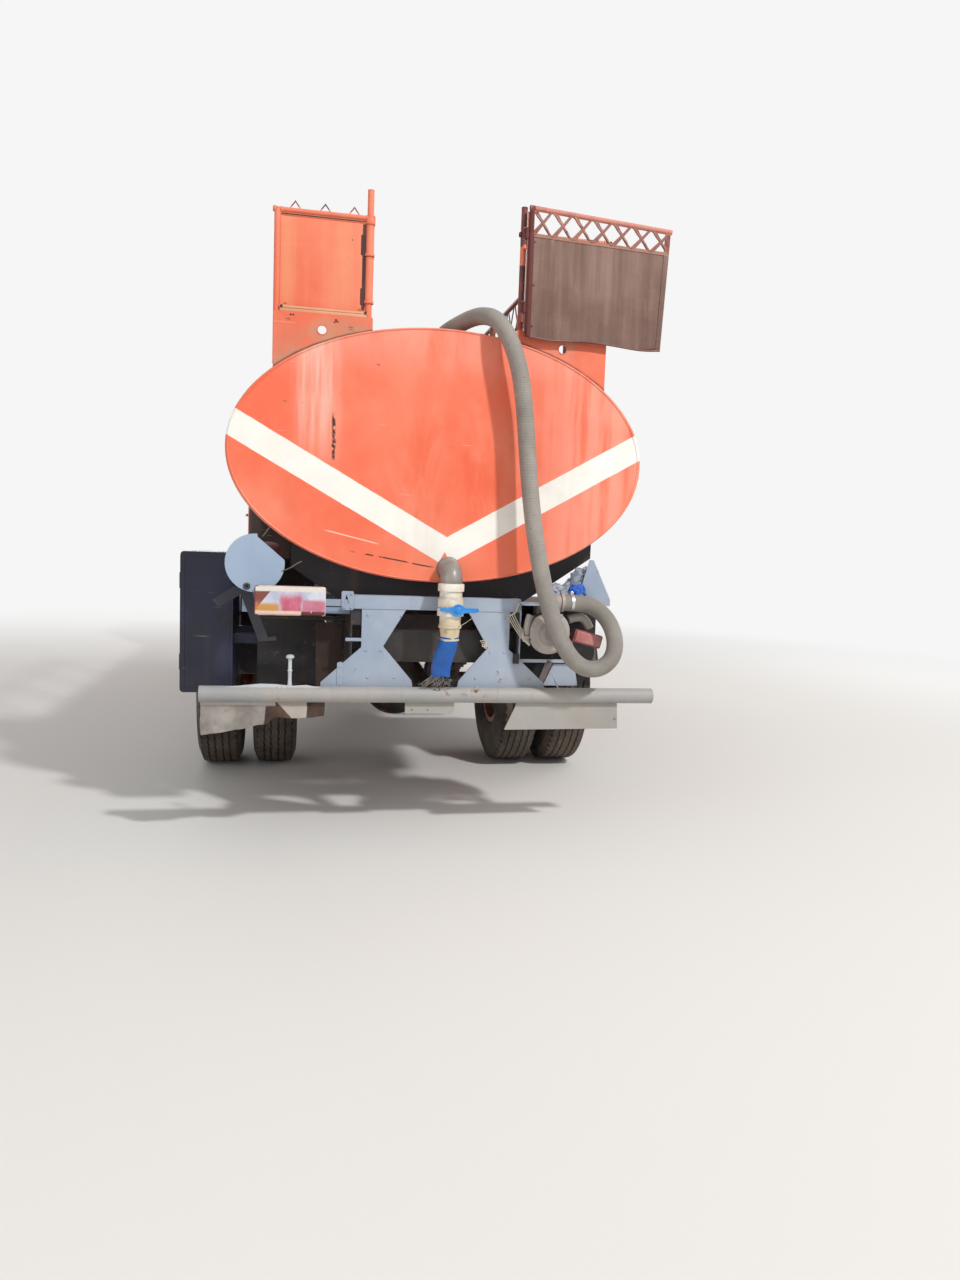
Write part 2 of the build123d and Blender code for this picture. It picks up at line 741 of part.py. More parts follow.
# Soft blue sleeve on the outlet's foot, flattening towards its open end
outlet_end = outlet_z - 66 + outlet_foot - outlet_z + 70
with BuildPart() as outlet_sleeve:
    with BuildSketch(Plane.XY.offset(outlet_end)):
        with Locations((outlet_x, outlet_y)):
            Ellipse(hose_radius + 2, hose_radius)
    with BuildSketch(Plane.XY.offset(818)):
        with Locations((12, outlet_y)):
            Ellipse(44, 14)
    loft()
keep(outlet_sleeve.part, "outlet_sleeve")

# Pump: a turned volute hung from the shelf, with its discharge bent towards the hose
pump_face = tank_rear - 115
discharge_x = 560
discharge_z = 1187
discharge_end = 612
discharge_y = tank_rear - 75
pump_profile = [
    (0, 0), (0, 52), (12, 52), (12, 62), (22, pump_radius - 12), (34, pump_radius), (70, pump_radius),
    (85, pump_radius - 20), (85, 40), (260, 40), (260, 0),
]
discharge_path = [
    (discharge_x, discharge_y, pump_z + 60), (discharge_x, discharge_y, discharge_z),
    (discharge_end, discharge_y, discharge_z),
]
pump_body = turned(pump_profile, (pump_x, pump_face, pump_z), (0, 1, 0), (0, 0, 1))
discharge = bent_pipe(discharge_path, hose_radius - 2, 46)
with BuildPart() as pump:
    add(pump_body)
    add(discharge)
    lip = [(x, discharge_y, discharge_z) for x in (discharge_end - 14, discharge_end)]
    add(rod(*lip, hose_radius + 5))
    brick((pump_x - 30, pump_x + 30), (tank_rear + 40, tank_rear + 120), (pump_z, shelf_z))
keep(pump.part, "pump")

# Hose from the pump's discharge, round a loose loop, up the tank's end and over to the fill pipe.
# x, y behind (-) or ahead (+) of the tank's end, z
hose_route = [
    (612, -75, 1187),
    (680, -75, 1187),
    (745, -80, 1178),
    (800, -90, 1150),
    (842, -104, 1102),
    (866, -120, 1045),
    (872, -136, 985),
    (855, -151, 928),
    (813, -164, 887),
    (756, -175, 869),
    (697, -183, 878),
    (646, -188, 912),
    (602, -190, 965),
    (563, -190, 1035),
    (525, -188, 1125),
    (490, -180, 1240),
    (458, -163, 1385),
    (430, -143, 1550),
    (407, -125, 1740),
    (388, -113, 1940),
    (368, -110, 2130),
    (335, -113, 2300),
    (285, -92, 2436),
    (235, -35, 2522),
    (188, 48, 2552),
    (147, 140, 2556),
    (105, 235, 2545),
    (66, 330, 2531),
    (49, 425, 2524),
    (49, 520, 2524),
]
hose_points = [Vector(x, tank_rear + y, z) for x, y, z in hose_route]
hose_runs = [b - a for a, b in zip(hose_points, hose_points[1:])]
hose_bends = [
    0.45 * min(one.length, two.length) / tan(radians(one.get_angle(two)) / 2)
    for one, two in zip(hose_runs, hose_runs[1:])
]
print("hose bend radii", [round(bend) for bend in hose_bends])
with BuildPart() as hose:
    with BuildLine() as hose_line:
        FilletPolyline(*hose_points, radius=hose_bends)
    with BuildSketch(Plane(origin=hose_line.line @ 0, z_dir=hose_line.line % 0)):
        Circle(hose_radius)
    sweep()
hose_length = sum(edge.length for edge in hose_line.edges())
volume_ratio = hose.part.volume / (pi * hose_radius**2 * hose_length)
print("hose length", round(hose_length), "volume ratio", round(volume_ratio, 4))
keep(hose.part, "hose")

# Wheels: tyres and rims turned about X
wheel_axis = (1, 0, 0)


def tyre(x, y):
    """One tyre, its centre plane at x."""
    half = tyre_width / 2
    bead = rim_width / 2 - bead_wall - seat
    tread = tread_width / 2
    bore = rim_seat_radius + seat
    foot = (bead + 12, rim_flange_radius + 14)
    shoulder = (tread + 8, tyre_radius - 24)
    with BuildPart() as ring:
        with BuildSketch(Plane(origin=(x, y, axle_z), x_dir=(1, 0, 0), z_dir=(0, -1, 0))):
            with BuildLine() as half_line:
                Polyline((0, bore), (bead, bore), (bead, rim_flange_radius + 2), foot)
                ThreePointArc(foot, (half, 390), shoulder)
                Polyline(shoulder, (tread, tyre_radius - 5), (tread - 20, tyre_radius), (0, tyre_radius))
                mirror(about=Plane.YZ)
            make_face()
        revolve(axis=Axis((x, y, axle_z), wheel_axis))
    return ring.part


def rim_barrel(centre):
    """Outline of a rim's barrel, (x, radius)."""
    half = rim_width / 2
    inner = rim_seat_radius - rim_wall
    return [
        (centre - half, inner), (centre - half, rim_flange_radius),
        (centre - half + bead_wall, rim_flange_radius),
        (centre - half + bead_wall, rim_seat_radius), (centre + half - bead_wall, rim_seat_radius),
        (centre + half - bead_wall, rim_flange_radius), (centre + half, rim_flange_radius),
        (centre + half, inner),
    ]


def rim_disc(face, edge):
    """Outline of a dished disc from its bolted face at x = face to the barrel at x = edge."""
    way = 1 if edge > face else -1
    rim = rim_seat_radius - rim_wall + 1
    return [
        (face, disc_bore), (face + way * disc_wall, disc_bore), (face + way * disc_wall, 172),
        (edge + way * disc_wall, rim), (edge - way * disc_wall / 2, rim), (face, 184),
    ]


def hub_outline(drum, flange, end):
    """Outline of a drum between two x values, with its flange's face at x = flange and its nose to x = end."""
    bore = spindle_radius + shaft_gap
    return [
        (drum[0], bore), (drum[0], drum_radius), (drum[1], drum_radius), (drum[1] + 20, 140),
        (flange - flange_wall, 140), (flange - flange_wall, flange_radius), (flange, flange_radius),
        (flange, disc_bore - seat), (end, hub_radius - 22), (end + 26, 62), (end + 26, 0),
        (end + 6, 0), (end + 6, bore),
    ]


def rim(outlines, y, hand_hole_x):
    """A barrel and its disc fused, with hand holes through the disc."""
    with BuildPart() as wheel:
        add([turned(outline, (0, y, axle_z), wheel_axis, (0, 0, 1)) for outline in outlines])
        with BuildSketch(Plane(origin=(hand_hole_x, y, axle_z), x_dir=(0, 1, 0), z_dir=(1, 0, 0))):
            with PolarLocations(210, 8):
                SlotOverall(64, 34, rotation=90)
        extrude(amount=90, mode=Mode.SUBTRACT)
    return wheel.part


disc_bore = hub_radius - 4
flange_wall = 14
flange_radius = 164
outer_face = dual_mid_x + seat / 2
inner_face = dual_mid_x - seat / 2
with BuildPart() as rear_rims:
    add(rim([rim_barrel(dual_outer_x), rim_disc(outer_face, dual_outer_x - 90)],
            rear_axle_y, outer_face + disc_wall + 1))
    add(rim([rim_barrel(dual_inner_x), rim_disc(inner_face, dual_inner_x + 90)],
            rear_axle_y, dual_inner_x))
rear_hub = turned(
    hub_outline((axle_end_x + seat, dual_mid_x - 70), inner_face - disc_wall - seat, dual_mid_x + 80),
    (0, rear_axle_y, axle_z), wheel_axis, (0, 0, 1),
)
front_drum_x = kingpin_x + 75
front_disc_x = front_wheel_x + 150
front_rim = rim(
    [rim_barrel(front_wheel_x), rim_disc(front_disc_x, front_wheel_x + 92)],
    front_axle_y, front_wheel_x + 60,
)
front_hub = turned(
    hub_outline((front_drum_x + seat, front_drum_x + 110), front_disc_x - disc_wall - seat, front_disc_x + 30),
    (0, front_axle_y, axle_z), wheel_axis, (0, 0, 1),
)
keep(rear_rims.part, "rear_rims_right")
keep(mirrored(rear_rims.part), "rear_rims_left")
keep(front_rim, "front_rim_right")
keep(mirrored(front_rim), "front_rim_left")
keep(rear_hub, "rear_hub_right")
keep(mirrored(rear_hub), "rear_hub_left")
keep(front_hub, "front_hub_right")
keep(mirrored(front_hub), "front_hub_left")
with BuildPart() as rear_tyres:
    add(tyre(dual_outer_x, rear_axle_y))
    add(tyre(dual_inner_x, rear_axle_y))
front_tyre = tyre(front_wheel_x, front_axle_y)
keep(rear_tyres.part, "rear_tyres_right")
keep(mirrored(rear_tyres.part), "rear_tyres_left")
keep(front_tyre, "front_tyre_right")
keep(mirrored(front_tyre), "front_tyre_left")

# Rear axle with its domed housing, spindles and the two-piece shaft from the gearbox
spindle_end = dual_mid_x + 80
bearing_y = -160
shaft_z = (790, 715, 565)
gearbox_end = 1400
pinion_y = rear_axle_y + 265
chamber_z = axle_z + chamber_rise
spindle = rod((-spindle_end, rear_axle_y, axle_z), (spindle_end, rear_axle_y, axle_z), spindle_radius)
axle_tube = turned(
    [(-axle_end_x, 0), (-axle_end_x, 105), (-axle_end_x + 24, 105), (-axle_end_x + 24, 80),
     (-560, axle_tube_radius), (-240, axle_tube_radius), (-150, 120), (150, 120), (240, axle_tube_radius),
     (560, axle_tube_radius),
     (axle_end_x - 24, 80), (axle_end_x - 24, 105), (axle_end_x, 105), (axle_end_x, 0)],
    (0, rear_axle_y, axle_z), wheel_axis, (0, 0, 1),
)
dome = turned(
    [(-165, 0), (-160, 60), (-140, 120), (-100, 175), (-60, 200), (60, 200), (90, 180), (150, 110),
     (265, 70), (265, 0)],
    (0, rear_axle_y, axle_z), (0, 1, 0), (0, 0, 1),
)
with BuildPart() as rear_axle:
    add(spindle)
    add(axle_tube)
    add(dome)
    add(rod((0, pinion_y - 10, axle_z), (0, pinion_y + 30, axle_z + 8), 62))
    add(rod((0, pinion_y + 20, axle_z + 6), (0, bearing_y, shaft_z[1]), 45))
    add(rod((0, bearing_y - 10, shaft_z[1]), (0, gearbox_end - 50, shaft_z[0]), 45))
    add(rod((0, gearbox_end - 60, shaft_z[0]), (0, gearbox_end - seat, shaft_z[0]), 62))
    add(rod((0, bearing_y - 40, shaft_z[1]), (0, bearing_y + 40, shaft_z[1]), 72))
    brick((-50, 50), (bearing_y - 25, bearing_y + 25), (shaft_z[1], cross_bottom))
    for side in (-1, 1):
        chamber_x = side * 255
        back, front = rear_axle_y - 225, rear_axle_y - 105
        add(rod((chamber_x, back, chamber_z), (chamber_x, front, chamber_z), chamber_radius))
        brick((chamber_x - 15, chamber_x + 15), (front - 5, rear_axle_y + 10), (axle_z + 30, chamber_z + 36))
keep(rear_axle.part, "rear_axle")

# Front axle beam with its eyes and kingpins
beam_half = kingpin_x - 30
beam_outline = [
    (beam_half, 562), (beam_half, 490), (600, 440), (500, 396), (-500, 396), (-600, 440), (-beam_half, 490),
    (-beam_half, 562), (-570, 524), (-480, 480), (480, 480), (570, 524),
]
with BuildPart() as front_axle:
    with BuildSketch(across(front_axle_y + beam_depth / 2)):
        Polygon(*beam_outline, align=None)
    extrude(amount=beam_depth)
    for side in (-1, 1):
        with BuildSketch(across(front_axle_y + side * beam_depth / 2)):
            Polygon(*beam_outline, align=None)
            offset(amount=-16, mode=Mode.REPLACE)
        extrude(amount=side * 26, mode=Mode.SUBTRACT)
        with Locations((side * kingpin_x, front_axle_y, axle_z)):
            Cylinder(eye_radius, eye_height)
            Cylinder(kingpin_radius, eye_height + 2 * ear_height + 12)
keep(front_axle.part, "front_axle")

# Steering knuckle: two ears on the kingpin, the web, the spindle and the arm, which points straight back
# so that the tie rod stays true at every angle
ear_gap = 1
ear_low = axle_z - eye_height / 2 - ear_gap
ear_high = axle_z + eye_height / 2 + ear_gap
web_x = kingpin_x + eye_radius + 6
flange_x = front_drum_x
spindle_tip = front_disc_x + 30
arm_x = kingpin_x
arm_y = front_axle_y - arm_reach
rod_eye = 12
with BuildPart() as knuckle:
    for low, high in ((ear_low - ear_height, ear_low), (ear_high, ear_high + ear_height)):
        with BuildSketch(Plane.XY.offset(low)):
            with Locations((kingpin_x, front_axle_y)):
                Circle(eye_radius + 4)
            with Locations(((kingpin_x + flange_x) / 2, front_axle_y)):
                Rectangle(flange_x - kingpin_x, 2 * eye_radius)
            with Locations((kingpin_x, front_axle_y)):
                Circle(kingpin_radius + shaft_gap, mode=Mode.SUBTRACT)
        extrude(amount=high - low)
    brick((web_x, flange_x), (front_axle_y - eye_radius, front_axle_y + eye_radius),
          (ear_low - ear_height, ear_high + ear_height))
    with BuildSketch(along(flange_x - 14)):
        with Locations((front_axle_y, axle_z)):
            Circle(112)
    extrude(amount=14)
    add(rod((flange_x - 10, front_axle_y, axle_z), (spindle_tip, front_axle_y, axle_z), spindle_radius))
    with BuildSketch(Plane.XY.offset(ear_low - ear_height)):
        Polygon((kingpin_x + 36, front_axle_y - 36), (arm_x + 18, arm_y - 12), (arm_x - 18, arm_y - 12),
                (kingpin_x - 20, front_axle_y - 40), align=None)
    extrude(amount=26)
    with Locations((arm_x, arm_y, tie_rod_z + 20)):
        Cylinder(10, 2 * (ear_low - ear_height - tie_rod_z - 20) + 20)
with BuildPart() as check_pin:
    with Locations((kingpin_x, front_axle_y, axle_z)):
        Cylinder(kingpin_radius + shaft_gap, 400)
knuckle_right = knuckle.part - check_pin.part
keep(knuckle_right, "knuckle_right")
keep(mirrored(knuckle_right), "knuckle_left")

# Tie rod between the two arms
pin_bore = 10 + shaft_gap
with BuildPart() as tie_rod:
    add(rod((-arm_x + 24, arm_y, tie_rod_z), (arm_x - 24, arm_y, tie_rod_z), 15))
    for side in (-1, 1):
        with Locations((side * arm_x, arm_y, tie_rod_z)):
            Cylinder(27, 2 * rod_eye)
            Cylinder(pin_bore, 2 * rod_eye + 4, mode=Mode.SUBTRACT)
keep(tie_rod.part, "tie_rod")

# Leaf springs: stepped leaves between the axle's seat and the hangers under the rail
leaf_thickness = 14
leaf_width = 76


def spring_pack(y, seat_z, half_length, leaves, rise):
    """One leaf pack under the right rail, its seat at seat_z and its ends up by rise."""
    bend = (half_length**2 + rise**2) / (2 * rise)
    stack = leaves * leaf_thickness
    centre_z = seat_z + 12 + bend
    top_z = centre_z - bend + stack
    with BuildPart() as pack:
        for i in range(leaves):
            reach = half_length * (1 - 0.16 * i)
            radius = bend - stack + leaf_thickness * (i + 1)
            with BuildSketch(along(rail_x - leaf_width / 2)):
                with Locations((y, centre_z)):
                    Circle(radius)
                    Circle(radius - leaf_thickness, mode=Mode.SUBTRACT)
                with Locations((y, centre_z - bend)):
                    Rectangle(2 * reach, 2 * (rise + stack + 30), mode=Mode.INTERSECT)
            extrude(amount=leaf_width)
        brick((rail_x - 45, rail_x + 45), (y - 60, y + 60), (seat_z, seat_z + 16))
        brick((rail_x - 45, rail_x + 45), (y - 60, y + 60), (top_z - 2, top_z + 16))
        end_z = centre_z - sqrt((bend - stack) ** 2 - half_length**2)
        for way in (-1, 1):
            eye_y = y + way * half_length
            eye = [(x, eye_y, end_z) for x in (rail_x - leaf_width / 2, rail_x + leaf_width / 2)]
            add(rod(*eye, 30))
            foot_z = end_z - 24
            hanger = [(eye_y - 70, rail_bottom), (eye_y + 70, rail_bottom), (eye_y + 32, foot_z), (eye_y - 32, foot_z)]
            add(slab(hanger, along(rail_x + leaf_width / 2), 8))
            add(slab(hanger, along(rail_x - leaf_width / 2 - 8), 8))
    return pack.part


rear_seat_z = axle_z + axle_tube_radius + 10
rear_pack = spring_pack(rear_axle_y, rear_seat_z, 640, 6, 90)
front_pack = spring_pack(front_axle_y, 480, 620, 5, 150)
with BuildPart() as spring_saddle:
    brick((rail_x - 52, rail_x + 52), (rear_axle_y - 70, rear_axle_y + 70), (axle_z + 30, rear_seat_z))
    add(axle_tube, mode=Mode.SUBTRACT)
with BuildPart() as leaf_springs:
    add(rear_pack)
    add(front_pack)
    add(spring_saddle.part)
    add(mirrored(rear_pack))
    add(mirrored(front_pack))
    add(mirrored(spring_saddle.part))
keep(leaf_springs.part, "leaf_springs")

# Engine and gearbox as plain masses at their real places, and the radiator behind the grille
engine_rear = cab_rear + 50
engine_front = cab_rear + 1050
gearbox_length = engine_rear - gearbox_end
gearbox_profile = [
    (0, 0), (0, 235), (90, 225), (200, 170), (500, 130), (gearbox_length, 90), (gearbox_length, 0),
]
with BuildPart() as engine:
    brick((-300, 300), (engine_rear, engine_front), (640, 1400))
    for y in (engine_rear + 180, engine_front - 160):
        brick((-rail_web_x, rail_web_x), (y - 40, y + 40), (900, 960))
    add(turned(gearbox_profile, (0, engine_rear, shaft_z[0]), (0, -1, 0), (0, 0, 1)))
    brick((-330, 330), (rail_front - 165, rail_front - 95), (cross_bottom + cross_height, 1420))
keep(engine.part, "engine")

# Silencer on the left rail, its pipe from the engine's back and its tail pipe out to the side
silencer_x = -545
silencer_z = 720
silencer_radius = 100
silencer_ends = (520, 1220)
pipe_radius = 32
manifold_x = -264
manifold_z = 700
pipe_turn_y = 1480
tail_end = (-960, 400, 690)
with BuildPart() as exhaust:
    add(rod(*[(silencer_x, y, silencer_z) for y in silencer_ends], silencer_radius))
    add(bent_pipe(
        [(silencer_x, silencer_ends[1] - 1, silencer_z), (silencer_x, pipe_turn_y, silencer_z),
         (manifold_x, pipe_turn_y, manifold_z), (manifold_x, engine_rear - seat, manifold_z)],
        pipe_radius, 70,
    ))
    add(bent_pipe(
        [(silencer_x, silencer_ends[0] + 1, silencer_z), (silencer_x, tail_end[1], silencer_z), tail_end],
        pipe_radius, 70,
    ))
    for y in (silencer_ends[0] + 100, silencer_ends[1] - 100):
        brick((silencer_x - 20, -rail_outer_x), (y - 15, y + 15),
              (silencer_z + silencer_radius - 12, rail_bottom + 60))
keep(exhaust.part, "exhaust")

# Fuel tank on the right rail, and two air tanks ahead of it
fuel_tank_front = 350
air_tank_x = 560
air_tank_z = 760
air_tank_radius = 110
air_tank_length = 480
air_tank_gap = 120
strap_inset = 110
air_profile = [
    (0, 0), (0, 60), (25, air_tank_radius), (air_tank_length - 25, air_tank_radius),
    (air_tank_length, 60), (air_tank_length, 0),
]
with BuildPart() as fuel_tank:
    brick((450, 930), (-700, fuel_tank_front), (560, 1000))
    fillet(fuel_tank.edges().filter_by(Axis.Y), 90)
    for y in (-450, 100):
        brick((rail_outer_x, 470), (y - 30, y + 30), (850, 930))
with BuildPart() as side_tanks:
    add(fuel_tank.part)
    for i in range(2):
        start = fuel_tank_front + 200 + i * (air_tank_length + air_tank_gap)
        add(turned(air_profile, (air_tank_x, start, air_tank_z), (0, 1, 0), (0, 0, 1)))
        for y in (start + strap_inset, start + air_tank_length - strap_inset):
            brick((rail_outer_x, air_tank_x + 20), (y - 15, y + 15),
                  (air_tank_z + air_tank_radius - 12, air_tank_z + air_tank_radius + 22))
keep(side_tanks.part, "side_tanks")


def cab_block(inset, foot=0):
    """The cab's outside form, drawn in by an inset, its sides leaning in above the belt line."""
    front, rear = cab_front - inset, cab_rear + inset
    low, high, wide = cab_bottom - foot, cab_top - inset, cab_half_width - inset
    with BuildPart() as block:
        with BuildSketch(Plane.YZ):
            with BuildLine():
                Polyline((rear, low), (front, low), (front, cab_belt), (front - screen_lean, high),
                         (rear, high), close=True)
            make_face()
        extrude(amount=wide, both=True)
        with BuildSketch(Plane.XZ):
            with BuildLine():
                Polyline((-wide, low), (wide, low), (wide, cab_belt), (wide - side_lean, high),
                         (side_lean - wide, high), (-wide, cab_belt), close=True)
            make_face()
        extrude(amount=2 * overall_length, both=True, mode=Mode.INTERSECT)
        with BuildSketch(Plane.XY.offset(low)):
            with Locations((0, (front + rear) / 2)):
                RectangleRounded(2 * wide, front - rear, 150 - inset)
        extrude(amount=high - low, mode=Mode.INTERSECT)
    return block.part


# Cab skin, then the panels that it is cut into
with BuildPart() as cab_skin:
    add(cab_block(0))
    add(cab_block(cab_wall, 20), mode=Mode.SUBTRACT)
    with BuildSketch(Plane.YZ):
        with Locations((front_axle_y, axle_z)):
            Circle(arch_radius)
    extrude(amount=half_width, both=True, mode=Mode.SUBTRACT)
wide_x = (-half_width, half_width)
back_depth = 100
screen_half = 940
screen_z = (1985, 2465)
rear_window = (-450, 450)
rear_window_z = (2010, 2400)
door_window_y = (door_rear + 90, door_front - 95)
door_window_z = (1935, 2430)
hinge_heights = (1420, 1790)
hinge_x = cab_half_width + 12
rear_edge_gap = 12
hinge_y = door_front + gap / 2
with BuildPart() as cab_roof:
    add(cab_skin.part)
    brick(wide_x, (cab_rear - 1, cab_front + 1), (roof_line, cab_top + 1), mode=Mode.INTERSECT)
keep(cab_roof.part, "cab_roof")
with BuildPart() as cab_back:
    add(cab_skin.part)
    brick(wide_x, (cab_rear - 1, cab_rear + back_depth), (floor_bottom, roof_line), mode=Mode.INTERSECT)
    brick(rear_window, (cab_rear - 1, cab_rear + back_depth), rear_window_z, mode=Mode.SUBTRACT)
keep(cab_back.part, "cab_back")
with BuildPart() as cab_nose:
    add(cab_skin.part)
    brick(wide_x, (door_front + gap, cab_front + 1), (cab_bottom, roof_line), mode=Mode.INTERSECT)
    brick((-screen_half, screen_half), (cab_front - 300, cab_front + 1), screen_z, mode=Mode.SUBTRACT)
    brick((-grille_half_width, grille_half_width), (cab_front - 60, cab_front + 1),
          (grille_bottom, grille_top), mode=Mode.SUBTRACT)
    for side in (-1, 1):
        for z in hinge_heights:
            add(rod((side * hinge_x, hinge_y, z - 50), (side * hinge_x, hinge_y, z), 9))
            brick(sorted((side * cab_half_width, side * hinge_x)), (hinge_y, hinge_y + 60), (z - 50, z))
keep(cab_nose.part, "cab_nose")
with BuildPart() as cab_sides:
    add(cab_skin.part)
    brick(wide_x, (cab_rear + back_depth, door_front + gap), (cab_bottom, roof_line), mode=Mode.INTERSECT)
    brick(wide_x, (door_rear - rear_edge_gap, door_front + gap),
          (door_bottom - gap, door_top + gap), mode=Mode.SUBTRACT)
keep(cab_sides.part, "cab_sides")
with BuildPart() as door:
    add(cab_skin.part)
    brick((0, half_width), (door_rear, door_front), (door_bottom, door_top), mode=Mode.INTERSECT)
    brick((0, half_width), door_window_y, door_window_z, mode=Mode.SUBTRACT)
    for z in hinge_heights:
        add(rod((hinge_x, hinge_y, z + seat), (hinge_x, hinge_y, z + 50), 9))
        brick((cab_half_width - 1, hinge_x), (door_front - 60, hinge_y), (z + seat, z + 50))
    brick((cab_half_width - 1, cab_half_width + 22), (door_rear + 60, door_rear + 190), (1690, 1715))
keep(door.part, "door_right")
keep(mirrored(door.part), "door_left")

# Glass, a thin layer inside the skin's thickness, cut by the same window limits
with BuildPart() as glass_layer:
    add(cab_block(16))
    add(cab_block(16 + glass_thickness, 20), mode=Mode.SUBTRACT)
with BuildPart() as windscreen:
    add(glass_layer.part)
    brick((-screen_half, screen_half), (cab_front - 300, cab_front + 1), screen_z, mode=Mode.INTERSECT)
with BuildPart() as rear_glass:
    add(glass_layer.part)
    brick(rear_window, (cab_rear - 1, cab_rear + back_depth), rear_window_z, mode=Mode.INTERSECT)
with BuildPart() as cab_glass:
    add(windscreen.part)
    add(rear_glass.part)
keep(cab_glass.part, "cab_glass")
with BuildPart() as door_glass:
    add(glass_layer.part)
    brick((0, half_width), door_window_y, door_window_z, mode=Mode.INTERSECT)
keep(door_glass.part, "door_glass_right")
keep(mirrored(door_glass.part), "door_glass_left")

# Cab floor with the engine tunnel and the two seat boxes
tunnel_wall = 30
cab_mount_places = (cab_rear + 130, cab_front - 200)
cushion_bottom = 1600
seat_rear = cab_rear + 290
seat_x = (425, 895)
with BuildPart() as cab_floor:
    add(cab_block(cab_wall, 20))
    brick(wide_x, (cab_rear, cab_front), (floor_bottom, floor_top), mode=Mode.INTERSECT)
    brick((-hump_half_width, hump_half_width), (cab_rear + cab_wall, cab_front - cab_wall),
          (floor_bottom, hump_top))
    brick((-hump_half_width + tunnel_wall, hump_half_width - tunnel_wall), (cab_rear, cab_front),
          (floor_bottom - 1, hump_top - tunnel_wall), mode=Mode.SUBTRACT)
    for side in (-1, 1):
        for y in cab_mount_places:
            brick(sorted((side * (rail_outer_x - rail_flange), side * rail_outer_x)), (y - 45, y + 45),
                  (rail_top + seat, floor_bottom + 1))
    for side in (-1, 1):
        brick(sorted((side * (seat_x[0] + 30), side * (seat_x[1] - 30))),
              (seat_rear + 30, seat_rear + 400), (floor_top, cushion_bottom))
keep(cab_floor.part, "cab_floor")

# Two seats, cushion and backrest apart
cushion_top = 1730
back_lean = 10
with BuildPart() as seats:
    for side in (-1, 1):
        middle = side * (seat_x[0] + seat_x[1]) / 2
        brick(sorted((side * seat_x[0], side * seat_x[1])), (seat_rear, seat_rear + 470),
              (cushion_bottom + seat, cushion_top))
        back_foot = (middle - 225, seat_rear - 10, cushion_top + seat)
        with BuildSketch(Plane(origin=back_foot, x_dir=(0, 1, 0), z_dir=(1, 0, 0))):
            Polygon((30, 0), (140, 0), (60, 520), (-40, 520), align=None)
        extrude(amount=450)
keep(seats.part, "seats")

# Dashboard along the front wall, and the steering column standing on the floor
column_x = -660
column_foot_y = cab_front - 240
column_tilt = 25
column_length = 640
column_axis = Vector(0, -sin(radians(column_tilt)), cos(radians(column_tilt)))
column_foot = Vector(column_x, column_foot_y, floor_top + 22)
column_head = column_foot + column_axis * column_length
dash_y = cab_front - cab_wall - seat
with BuildPart() as dashboard:
    with BuildSketch(along(-950)):
        Polygon((dash_y, 1640), (dash_y - 215, 1640), (dash_y - 285, 1760), (dash_y - 255, 1870),
                (dash_y, 1893), align=None)
    extrude(amount=1900)
    add(rod(column_foot, column_head, 32))
    brick((column_x - 60, column_x + 60), (column_foot_y - 70, column_foot_y + 60),
          (floor_top + seat, floor_top + 40))
keep(dashboard.part, "dashboard")

# Steering wheel, a ring on three spokes
steering_radius = 225
hub_height = 40
wheel_place = Plane(origin=column_head + column_axis * (hub_height / 2 + seat), z_dir=column_axis)
with BuildPart(wheel_place) as steering_wheel:
    Torus(steering_radius, 14)
    Cylinder(46, hub_height)
    with PolarLocations(steering_radius / 2, 3):
        Box(steering_radius, 26, 10)
keep(steering_wheel.part, "steering_wheel")

# Grille: raked slats in a frame that fills the nose's opening
slat_step = (grille_top - grille_bottom) / slat_count
with BuildPart() as grille:
    with BuildSketch(across(cab_front + 8)):
        with Locations((0, (grille_bottom + grille_top) / 2)):
            Rectangle(2 * (grille_half_width - seat), grille_top - grille_bottom - 2 * seat)
            Rectangle(2 * (grille_half_width - 26), grille_top - grille_bottom - 52, mode=Mode.SUBTRACT)
    extrude(amount=34)
    for i in range(1, slat_count):
        z = grille_bottom + slat_step * i
        front, back = cab_front + 4, cab_front - 24
        add(slab([(front, z - 10), (front, z - 4), (back, z + 12), (back, z + 6)],
                 along(-grille_half_width + 20), 2 * (grille_half_width - 20)))
keep(grille.part, "grille")

